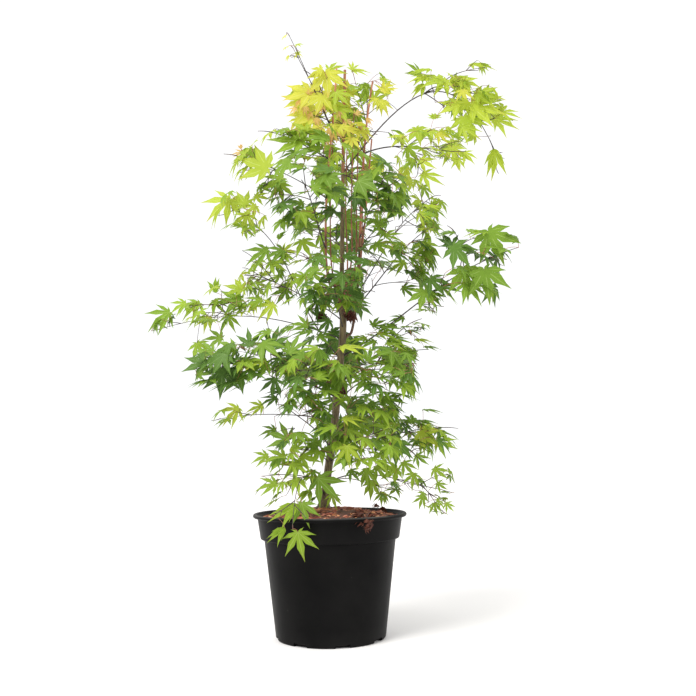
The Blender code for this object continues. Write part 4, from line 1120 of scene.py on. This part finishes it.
class Recipe:
    """A material's or a group's node tree under construction."""

    def __init__(self, tree):
        self.tree = tree

    def add(self, kind, inputs=None, **settings):
        """A new node with its settings, and its sockets fed by name or by number."""
        made = self.tree.nodes.new("ShaderNode" + kind)
        for name, value in settings.items():
            setattr(made, name, value)
        for name, value in (inputs or {}).items():
            self.feed(made.inputs[name], value)
        return made

    def feed(self, socket, value):
        """Links a socket to another one, or sets its value. Colours come without alpha."""
        if isinstance(value, bpy.types.NodeSocket):
            self.tree.links.new(value, socket)
        else:
            socket.default_value = (*value, 1.0) if socket.type == "RGBA" else value

    def mix(self, share, first, second):
        return self.add("Mix", {0: share, 6: first, 7: second}, data_type="RGBA").outputs[2]

    def work(self, operation, first, second=0.0):
        return self.add("Math", {0: first, 1: second}, operation=operation).outputs[0]

    def plus(self, first, second):
        return self.work("ADD", first, second)

    def times(self, first, second):
        return self.work("MULTIPLY", first, second)

    def weighed(self, first, share, second):
        return self.plus(self.times(first, share), self.times(second, 1.0 - share))

    def scaled(self, value, span, shown=(0.0, 1.0)):
        """Takes a span of values to another, and holds what lies beyond at its ends."""
        return self.add("MapRange", dict(enumerate((value, *span, *shown)))).outputs[0]

    def noise(self, vector, scale, detail=3.0, roughness=0.55):
        return self.add("TexNoise", {"Vector": vector, "Scale": scale, "Detail": detail,
                                     "Roughness": roughness}).outputs[0]

    def cells(self, vector, scale, span):
        """Round spots: 1 in the middle of each cell, and 0 past the span."""
        spots = self.add("TexVoronoi", {"Vector": vector, "Scale": scale, "Randomness": 1.0})
        return self.scaled(spots.outputs["Distance"], span, (1.0, 0.0))

    def ramp(self, value, stops):
        made = self.add("ValToRGB", {0: value})
        band = made.color_ramp
        while len(band.elements) < len(stops):
            band.elements.new(0.5)
        for element, (place, colour) in zip(band.elements, stops):
            element.position = place
            element.color = (*colour, 1.0)
        return made.outputs[0]

    def attribute(self, name):
        return self.add("Attribute", attribute_name=name).outputs["Fac"]

    def upward(self, vector):
        return self.add("SeparateXYZ", {0: vector}).outputs[2]

    def object_place(self, length_share=1.0):
        """The place on the object, with patterns drawn out along Z by a share under 1."""
        place = self.add("TexCoord").outputs["Object"]
        return self.add("Mapping", {"Vector": place, "Scale": (1.0, 1.0, length_share)}).outputs[0]


def skin_group(name, colours, value):
    """A new shader group that takes some colours and a value, and puts out the colour,
    roughness and height of a skin: its recipe, and the sockets at both of its ends."""
    tree = bpy.data.node_groups.new(name, "ShaderNodeTree")
    for socket in colours:
        tree.interface.new_socket(socket, in_out="INPUT", socket_type="NodeSocketColor")
    tree.interface.new_socket(value, in_out="INPUT", socket_type="NodeSocketFloat")
    for socket, kind in (("Colour", "Color"), ("Rough", "Float"), ("Height", "Float")):
        tree.interface.new_socket(socket, in_out="OUTPUT", socket_type="NodeSocket" + kind)
    start = tree.nodes.new("NodeGroupInput")
    end = tree.nodes.new("NodeGroupOutput")
    return Recipe(tree), start.outputs, end.inputs


def filled_group(recipe, out, colour, rough, height):
    """Feeds a skin group's outputs, and gives the group."""
    for socket, value in (("Colour", colour), ("Rough", rough), ("Height", height)):
        recipe.feed(out[socket], value)
    return recipe.tree


def material(name):
    made = bpy.data.materials.new(name)
    made.use_nodes = True
    return made, Recipe(made.node_tree), made.node_tree.nodes["Principled BSDF"]


def coat(recipe, shader, colour, rough, height, strength, distance):
    """Gives a shader its colour and roughness, and a bump of a strength and a depth."""
    bump = recipe.add("Bump", {"Height": height, "Strength": strength, "Distance": distance})
    for socket, value in (("Base Color", colour), ("Roughness", rough),
                          ("Normal", bump.outputs[0])):
        recipe.feed(shader.inputs[socket], value)


# Leaf skin. A band is the span of a pattern's values over which it comes in
MIDRIB_BAND = (0.86, 1.0)
SIDE_VEINS = 8.0
SIDE_VEIN_SLANT = 2.2
SIDE_VEIN_WIDTH = 0.12
SIDE_VEIN_SHARE = 0.35
VEIN_SHARE = 0.7
MOTTLE_SCALE = 90.0
MOTTLE_HEIGHT = 0.3
DRIFT_SCALE = 9.0
TONE_SHARE = 0.6
TONE_BAND = (0.25, 0.75)
TIP_BAND = (0.62, 1.0)
LEAF_ROUGH = (0.40, 0.58)
LEAF_GLOSS = 0.18
LEAF_BUMP = (0.25, 0.0004)
LeafLook = namedtuple("LeafLook", "colour shade vein tip tip_share glow")
LEAF_LOOKS = {
    "gold": LeafLook((0.64, 0.63, 0.075), (0.52, 0.56, 0.050), (0.74, 0.73, 0.26),
                     (0.72, 0.40, 0.16), 0.6, 0.54),
    "bronze": LeafLook((0.72, 0.50, 0.18), (0.60, 0.40, 0.12), (0.82, 0.66, 0.36),
                       (0.70, 0.27, 0.16), 0.8, 0.50),
    "lime": LeafLook((0.47, 0.555, 0.052), (0.31, 0.43, 0.030), (0.61, 0.70, 0.20),
                     (0.48, 0.35, 0.08), 0.5, 0.50),
    "fresh": LeafLook((0.305, 0.44, 0.036), (0.19, 0.31, 0.024), (0.47, 0.59, 0.16),
                      (0.29, 0.25, 0.05), 0.4, 0.44),
    "mid": LeafLook((0.205, 0.335, 0.030), (0.092, 0.180, 0.016), (0.35, 0.47, 0.13),
                    (0.18, 0.17, 0.03), 0.3, 0.36),
    "deep": LeafLook((0.106, 0.205, 0.028), (0.038, 0.090, 0.012), (0.23, 0.35, 0.11),
                     (0.08, 0.10, 0.02), 0.3, 0.30),
    "dead": LeafLook((0.095, 0.030, 0.018), (0.026, 0.011, 0.009), (0.34, 0.12, 0.07),
                     (0.04, 0.016, 0.011), 0.7, 0.10),
}


def leaf_skin_group():
    """Leaf colour: veins from the midribs, a tone for each leaf, tinged tips and faint
    mottling. The veins are grooves in the height."""
    recipe, given, out = skin_group("leaf skin", ("Colour", "Vein", "Tip", "Shade"), "Tip share")
    rib = recipe.attribute("rib")
    run = recipe.attribute("run")
    place = recipe.object_place()
    mottle = recipe.noise(place, MOTTLE_SCALE)
    drift = recipe.noise(place, DRIFT_SCALE, 2.0)
    stripe = recipe.work("FRACT", recipe.plus(recipe.times(run, SIDE_VEINS),
                                              recipe.times(rib, SIDE_VEIN_SLANT)))
    stripe = recipe.work("ABSOLUTE", recipe.work("SUBTRACT", stripe, 0.5))
    side = recipe.scaled(stripe, (0.0, SIDE_VEIN_WIDTH), (1.0, 0.0))
    veins = recipe.work("MAXIMUM", recipe.scaled(rib, MIDRIB_BAND),
                        recipe.times(side, SIDE_VEIN_SHARE))
    tone = recipe.weighed(recipe.attribute("tone"), TONE_SHARE, drift)
    shown = recipe.mix(recipe.scaled(tone, TONE_BAND, (0.0, 0.75)), given["Colour"], given["Shade"])
    shown = recipe.mix(recipe.scaled(mottle, (0.35, 0.7), (0.0, 0.22)), shown, given["Shade"])
    tips = recipe.times(recipe.scaled(run, TIP_BAND), given["Tip share"])
    shown = recipe.mix(tips, shown, given["Tip"])
    shown = recipe.mix(recipe.times(veins, VEIN_SHARE), shown, given["Vein"])
    height = recipe.work("SUBTRACT", recipe.times(mottle, MOTTLE_HEIGHT), veins)
    return filled_group(recipe, out, shown, recipe.scaled(mottle, (0.3, 0.7), LEAF_ROUGH), height)


def leaf_material(tint):
    """A leaf's skin, with light that comes through it from behind."""
    made, recipe, shader = material("leaf_" + tint)
    look = LEAF_LOOKS[tint]
    skin = recipe.add("Group", {"Colour": look.colour, "Shade": look.shade, "Vein": look.vein,
                                "Tip": look.tip, "Tip share": look.tip_share},
                      node_tree=GROUPS["leaf"]).outputs
    shader.inputs["Specular IOR Level"].default_value = LEAF_GLOSS
    coat(recipe, shader, skin["Colour"], skin["Rough"], skin["Height"], *LEAF_BUMP)
    through = recipe.add("BsdfTranslucent", {"Color": skin["Colour"]})
    both = recipe.add("MixShader", {0: look.glow, 1: shader.outputs[0], 2: through.outputs[0]})
    recipe.feed(made.node_tree.nodes["Material Output"].inputs["Surface"], both.outputs[0])
    return made


# Bark skin: old and coral bark, each with its dark streaks
STREAK_SCALE = 420.0
STREAK_LENGTH = 0.10
BLOTCH_SCALE = 42.0
PORE_SCALE = 330.0
PORE_LENGTH = 0.55
PORE_SHARE = 0.28
PORE_COLOUR = (0.50, 0.41, 0.29)
BARK_ROUGH = (0.48, 0.80)
BARK_BUMP = (0.5, 0.0006)
BARK_SOCKETS = ("Old", "Old dark", "Coral", "Coral dark")
BARK_COLOURS = {
    "bark": ((0.195, 0.142, 0.062), (0.072, 0.048, 0.025),
             (0.42, 0.165, 0.080), (0.20, 0.070, 0.040)),
    "coral_bark": ((0.17, 0.085, 0.045), (0.080, 0.036, 0.024),
                   (0.50, 0.190, 0.105), (0.26, 0.075, 0.045)),
    "thin_coral": ((0.14, 0.065, 0.035), (0.065, 0.028, 0.020),
                   (0.34, 0.115, 0.062), (0.15, 0.045, 0.030)),
    "shoot_bark": ((0.050, 0.032, 0.026), (0.020, 0.013, 0.014),
                   (0.17, 0.052, 0.036), (0.060, 0.020, 0.020)),
    "shoot_twig": ((0.060, 0.040, 0.028), (0.026, 0.017, 0.015),
                   (0.20, 0.070, 0.045), (0.075, 0.028, 0.024)),
    "stalk_skin": ((0.26, 0.20, 0.06), (0.14, 0.10, 0.035),
                   (0.36, 0.12, 0.07), (0.19, 0.06, 0.04)),
}
# How coral the bark of thin pieces is, and where that of the trunk and stems turns
CORAL_SHARES = {"thin_coral": 0.7, "shoot_bark": 0.20, "shoot_twig": 0.35, "stalk_skin": 0.6}
CORAL_FADE = 0.10
TRUNK_CORAL_HEIGHT = 0.86
STEM_CORAL_HEIGHT = 0.76
STEM_CORAL_LEAST = 0.30


def bark_group():
    """Bark colour: streaks along the limb, pale pores, blotches and coral where it is young."""
    recipe, given, out = skin_group("bark skin", BARK_SOCKETS, "Coral share")
    streaks = recipe.noise(recipe.object_place(STREAK_LENGTH), STREAK_SCALE, 4.0)
    blotch = recipe.noise(recipe.object_place(), BLOTCH_SCALE)
    pores = recipe.cells(recipe.object_place(PORE_LENGTH), PORE_SCALE, (0.10, 0.22))
    old = recipe.mix(recipe.scaled(streaks, (0.36, 0.62)), given["Old"], given["Old dark"])
    young = recipe.mix(recipe.scaled(streaks, (0.38, 0.66)), given["Coral"], given["Coral dark"])
    edge = recipe.plus(given["Coral share"], recipe.scaled(blotch, (0.3, 0.7), (-0.28, 0.28)))
    shown = recipe.mix(recipe.scaled(edge, (0.35, 0.65)), old, young)
    shown = recipe.mix(recipe.scaled(blotch, (0.55, 0.75), (0.0, 0.4)), shown, given["Old dark"])
    shown = recipe.mix(recipe.times(pores, PORE_SHARE), shown, PORE_COLOUR)
    height = recipe.plus(streaks, recipe.times(pores, 0.5))
    return filled_group(recipe, out, shown, recipe.scaled(streaks, (0.3, 0.7), BARK_ROUGH), height)


def bark_material(name):
    """The bark of one kind of limb, coral by its share or by the attribute of its mesh."""
    made, recipe, shader = material(name)
    share = CORAL_SHARES[name] if name in CORAL_SHARES else recipe.attribute("coral")
    inputs = dict(zip(BARK_SOCKETS, BARK_COLOURS[name]))
    skin = recipe.add("Group", {**inputs, "Coral share": share}, node_tree=GROUPS["bark"]).outputs
    coat(recipe, shader, skin["Colour"], skin["Rough"], skin["Height"], *BARK_BUMP)
    return made


POT_BLACK = (0.0018, 0.0018, 0.0019)
POT_GREY = (0.0036, 0.0035, 0.0034)
POT_GLOSS = 0.052
POT_ROUGH = (0.38, 0.46)
POT_BUMP = (0.16, 0.0003)
POT_CLOUD_SCALE = 11.0
POT_GRAIN_SCALE = 900.0
POT_SMEAR_SCALE = 60.0
POT_SMEAR_LENGTH = 0.22
POT_SPOT_SCALE = 46.0
# Dust, whose colour and share also paint a highlight on the lip and the other upward ledges
DUST_AND_HIGHLIGHT_COLOUR = (0.20, 0.19, 0.18)
DUST_AND_HIGHLIGHT_SHARE = 0.60
DUST_EVERYWHERE = 0.02
LEDGE_DUST_AND_HIGHLIGHT = 0.85
FOOT_DUST = 0.06
FOOT_DUST_HEIGHT = 0.03
SPOT_SHARE = 0.55
DIRT_ROUGHNESS = 0.35


def pot_material():
    """Black moulded plastic with a satin bloom and pale spots. Its upward ledges are lighter: partly
    dust, partly a painted highlight on the lip and the collar's upper edges.
    """
    made, recipe, shader = material("pot")
    place = recipe.object_place()
    cloud = recipe.noise(place, POT_CLOUD_SCALE)
    grain = recipe.noise(place, POT_GRAIN_SCALE, 2.0)
    smears = recipe.noise(recipe.object_place(POT_SMEAR_LENGTH), POT_SMEAR_SCALE, 4.0)
    # Upward faces turn lighter: partly dust, partly a painted highlight on the lip and the ledges
    facing_up = recipe.upward(recipe.add("NewGeometry").outputs["Normal"])
    ledge = recipe.scaled(facing_up, (0.15, 0.9), (0.0, LEDGE_DUST_AND_HIGHLIGHT))
    foot = recipe.scaled(recipe.upward(place), (0.0, FOOT_DUST_HEIGHT), (FOOT_DUST, 0.0))
    dust_and_highlight = recipe.times(recipe.plus(recipe.plus(ledge, foot), DUST_EVERYWHERE),
                        recipe.scaled(cloud, (0.35, 0.75), (0.2, 1.0)))
    spots = recipe.times(recipe.cells(place, POT_SPOT_SCALE, (0.030, 0.055)),
                         recipe.scaled(cloud, (0.52, 0.60)))
    dirt_and_highlight = recipe.work("MAXIMUM", dust_and_highlight, recipe.times(spots, SPOT_SHARE))
    shown = recipe.mix(recipe.scaled(cloud, (0.3, 0.7)), POT_BLACK, POT_GREY)
    shown = recipe.mix(recipe.times(dirt_and_highlight, DUST_AND_HIGHLIGHT_SHARE), shown, DUST_AND_HIGHLIGHT_COLOUR)
    rough = recipe.plus(recipe.scaled(smears, (0.3, 0.7), POT_ROUGH),
                        recipe.times(dirt_and_highlight, DIRT_ROUGHNESS))
    shader.inputs["Specular IOR Level"].default_value = POT_GLOSS
    coat(recipe, shader, shown, rough, recipe.plus(grain, recipe.times(smears, 0.6)), *POT_BUMP)
    return made


CHIP_RAMP = [
    (0.10, (0.055, 0.018, 0.012)), (0.26, (0.230, 0.060, 0.036)), (0.46, (0.470, 0.135, 0.080)),
    (0.62, (0.620, 0.250, 0.165)), (0.78, (0.680, 0.270, 0.100)), (0.92, (0.780, 0.480, 0.340)),
]
CHIP_DARK = (0.060, 0.022, 0.015)
CHIP_FIBRE_SCALE = 900.0
CHIP_PATCH_SCALE = 160.0
CHIP_TONE_SHARE = 0.8
CHIP_ROUGH = (0.72, 0.95)
CHIP_BUMP = (0.6, 0.0008)


def chip_material():
    """Shredded bark: each shard its own shade from dark brown to pinkish tan."""
    made, recipe, shader = material("mulch_chips")
    place = recipe.object_place()
    fibre = recipe.noise(place, CHIP_FIBRE_SCALE, 4.0)
    patch = recipe.noise(place, CHIP_PATCH_SCALE)
    tone = recipe.weighed(recipe.attribute("tone"), CHIP_TONE_SHARE, patch)
    shown = recipe.mix(recipe.scaled(fibre, (0.42, 0.7), (0.0, 0.5)),
                       recipe.ramp(tone, CHIP_RAMP), CHIP_DARK)
    coat(recipe, shader, shown, recipe.scaled(fibre, (0.3, 0.7), CHIP_ROUGH), fibre, *CHIP_BUMP)
    return made


COMPOST_RAMP = [
    (0.35, (0.030, 0.014, 0.010)), (0.55, (0.130, 0.048, 0.028)), (0.72, (0.320, 0.120, 0.070)),
]
# Painted shade for the compost low in the pot, seen through the drain slots
COMPOST_PAINTED_SHADE = (0.010, 0.008, 0.007)
COMPOST_SHADE_BAND = (0.190, 0.205)
COMPOST_CRUMB_SCALE = 380.0
COMPOST_PATCH_SCALE = 60.0
COMPOST_CRUMB_SHARE = 0.7
COMPOST_ROUGH = (0.80, 0.98)
COMPOST_BUMP = (0.9, 0.0020)


def compost_material():
    """Crumbly compost, reddish on top, with painted shade that makes it nearly black low down, where
    the drain slots show it.
    """
    made, recipe, shader = material("compost")
    place = recipe.object_place()
    crumb = recipe.noise(place, COMPOST_CRUMB_SCALE, 5.0, 0.7)
    patch = recipe.noise(place, COMPOST_PATCH_SCALE)
    tone = recipe.weighed(crumb, COMPOST_CRUMB_SHARE, patch)
    # Painted shade: the compost turns nearly black below the band's heights
    low = recipe.scaled(recipe.upward(place), COMPOST_SHADE_BAND, (1.0, 0.0))
    shown = recipe.mix(low, recipe.ramp(tone, COMPOST_RAMP), COMPOST_PAINTED_SHADE)
    rough = recipe.scaled(crumb, (0.3, 0.7), COMPOST_ROUGH)
    coat(recipe, shader, shown, rough, crumb, *COMPOST_BUMP)
    return made


def coral_on_trunk(point):
    """The trunk is olive brown low down and turns coral past the fork."""
    return rising(point.z, TRUNK_CORAL_HEIGHT, CORAL_FADE)


def coral_on_stem(point):
    """The upright stems are dull at the fork and coral from there up."""
    return between(STEM_CORAL_LEAST, 1.0, rising(point.z, STEM_CORAL_HEIGHT, CORAL_FADE))


def bark_piece(name, limbs, sides, coral, look, nodes):
    """The bark of one limb or of many, in place of their solids."""
    bm = bmesh.new()
    for limb in limbs:
        add_bark(bm, limb, sides, coral)
    as_piece(name, bm, bark_material(look), nodes, BARK_SHARP)


def make_limbs():
    """Trunk, stems and boughs along the lines of their solids, with real bark."""
    trunk = trunk_limb()
    limbs = {"trunk": trunk}
    for stem in STEMS:
        limbs[stem.name] = stem_limb(stem, trunk)
    for mass in MASSES + SPRAYS:
        limbs[mass.name] = mass_limb(mass, limbs[mass.host])
    bark_piece("trunk_bark", [trunk], TRUNK_SIDES, coral_on_trunk, "bark", ["trunk"])
    for stem in STEMS:
        limb = limbs[stem.name]
        limb.radii = [STEM_SLIMNESS * radius for radius in limb.radii]
        bark_piece(stem.name + "_bark", [limb], STEM_SIDES, coral_on_stem, "coral_bark",
                   [stem.name])
    bark_piece("boughs_bark", [limbs[mass.name] for mass in MASSES], BOUGH_SIDES, coral_on_stem,
               "shoot_bark", ["bough_" + mass.name for mass in MASSES if mass.bough])
    return limbs


def make_foliage(limbs):
    """Every mass grown again, then the single leaves, and the dead ones last. All is
    dealt out by tint, and a single leaf hangs on the nearest joint by a stalk or a twig."""
    rng = random.Random(SEED + " shapes")
    shapes = {kind: leaf_shape(*sizes, rng) for kind, sizes in LEAF_KINDS.items()}
    by_tint = {tint: [] for tint in TINTS}
    twig_runs = []
    stalk_runs = []
    joints = []
    for mass in MASSES + SPRAYS:
        rng = random.Random(f"{SEED} {mass.name} scene")
        limb = limbs[mass.name]
        twigs = grow_twigs(mass, limb, rng)
        leaves, stalks = grow_leaves(mass, twigs, rng)
        if mass in SPRAYS:
            twigs.append(limb)
        twig_runs += [(twig.line, twig.radii) for twig in twigs]
        stalk_runs += [(line, [STALK_RADIUS] * len(line)) for line in stalks]
        for leaf in leaves:
            by_tint[leaf.tint].append(leaf)
        joints += [point for twig in twigs for point in twig.line]
        joints += limb.line[LINE_STEPS // 3:]
    rng = random.Random(SEED + " heroes")
    for hero in HEROES:
        root = min(joints, key=lambda point: (point - hero.base).length)
        line = stalk_line(root, hero.base)
        if (root - hero.base).length < LONGEST_STALK:
            stalk_runs.append((line, [STALK_RADIUS] * len(line)))
        else:
            twig_runs.append((line, [TWIG_TIP_RADIUS] * len(line)))
        by_tint[hero.tint].append(hero_leaf(hero, rng))
    for place, count, size in DEAD_CLUMPS:
        by_tint["dead"] += [dead_leaf(place, size, rng) for _ in range(count)]
    lines = [smooth_line(points, THIN_CURVE_STEPS) for points in THIN_STEMS]
    stem_runs = [(line, tapered(THIN_STEM_RADIUS, THIN_STEM_TIP, len(line))) for line in lines]
    tubes_piece("thin_stems", stem_runs, 2, "thin_coral")
    tubes_piece("twigs", twig_runs, 1, "shoot_twig")
    tubes_piece("leaf_stalks", stalk_runs, 0, "stalk_skin")
    for tint, leaves in by_tint.items():
        leaves_piece(tint, leaves, shapes)


# Studio: a pale floor, an even sky, a soft sun from the left, and two lamps
FLOOR_RADIUS = 14.0
FLOOR_SIDES = 64
FLOOR_COLOUR = (0.82, 0.80, 0.78)
FLOOR_ROUGHNESS = 0.6
SKY_COLOUR = (0.985, 0.99, 1.0)
SKY_STRENGTH = 1.1
SUN_WAY = Vector((0.50, 0.55, -0.85))
SUN_STRENGTH = 1.75
SUN_SOFTNESS = 24
LAMPS = [("key", Vector((-1.6, -2.2, 3.0)), 60.0), ("fill", Vector((2.6, -1.8, 1.6)), 30.0)]
LAMP_SIZE = 1.8
LAMP_AIM = Vector((0.0, 0.0, 0.5))
SENSOR_WIDTH = 36.0


def aimed(thing, way):
    """Turns a lamp to shine along a direction."""
    thing.rotation_euler = way.to_track_quat("-Z", "Y").to_euler()


def make_studio():
    """A pale floor, soft lights and the camera at the photograph's angle."""
    bm = bmesh.new()
    bmesh.ops.create_circle(bm, cap_ends=True, segments=FLOOR_SIDES, radius=FLOOR_RADIUS)
    floor = placed("studio_floor", mesh_from("studio_floor", bm))
    made, recipe, shader = material("studio_floor")
    recipe.feed(shader.inputs["Base Color"], FLOOR_COLOUR)
    recipe.feed(shader.inputs["Roughness"], FLOOR_ROUGHNESS)
    floor.data.materials.append(made)

    world = bpy.data.worlds.new("studio")
    world.use_nodes = True
    sky = world.node_tree.nodes["Background"]
    sky.inputs["Color"].default_value = (*SKY_COLOUR, 1.0)
    sky.inputs["Strength"].default_value = SKY_STRENGTH
    bpy.context.scene.world = world
    bpy.context.scene.view_settings.view_transform = "Standard"

    sun = bpy.data.lights.new("sun", "SUN")
    sun.energy = SUN_STRENGTH
    sun.angle = math.radians(SUN_SOFTNESS)
    aimed(placed("sun", sun), SUN_WAY)
    for name, place, power in LAMPS:
        lamp = bpy.data.lights.new(name, "AREA")
        lamp.size = LAMP_SIZE
        lamp.energy = power
        thing = placed(name, lamp)
        thing.location = place
        aimed(thing, LAMP_AIM - place)

    lens = bpy.data.cameras.new("camera")
    lens.sensor_width = SENSOR_WIDTH
    lens.lens = SENSOR_WIDTH * FOCAL_PIXELS / PICTURE_PIXELS
    camera = placed("camera", lens)
    camera.matrix_world = Matrix.Translation(CAMERA_PLACE) @ CAMERA_TURN.to_4x4()
    bpy.context.scene.camera = camera


GROUPS = {"leaf": leaf_skin_group(), "bark": bark_group()}

make_studio()
make_pot()
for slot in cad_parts["soil"].material_slots:
    slot.material = compost_material()
make_mulch()
make_foliage(make_limbs())
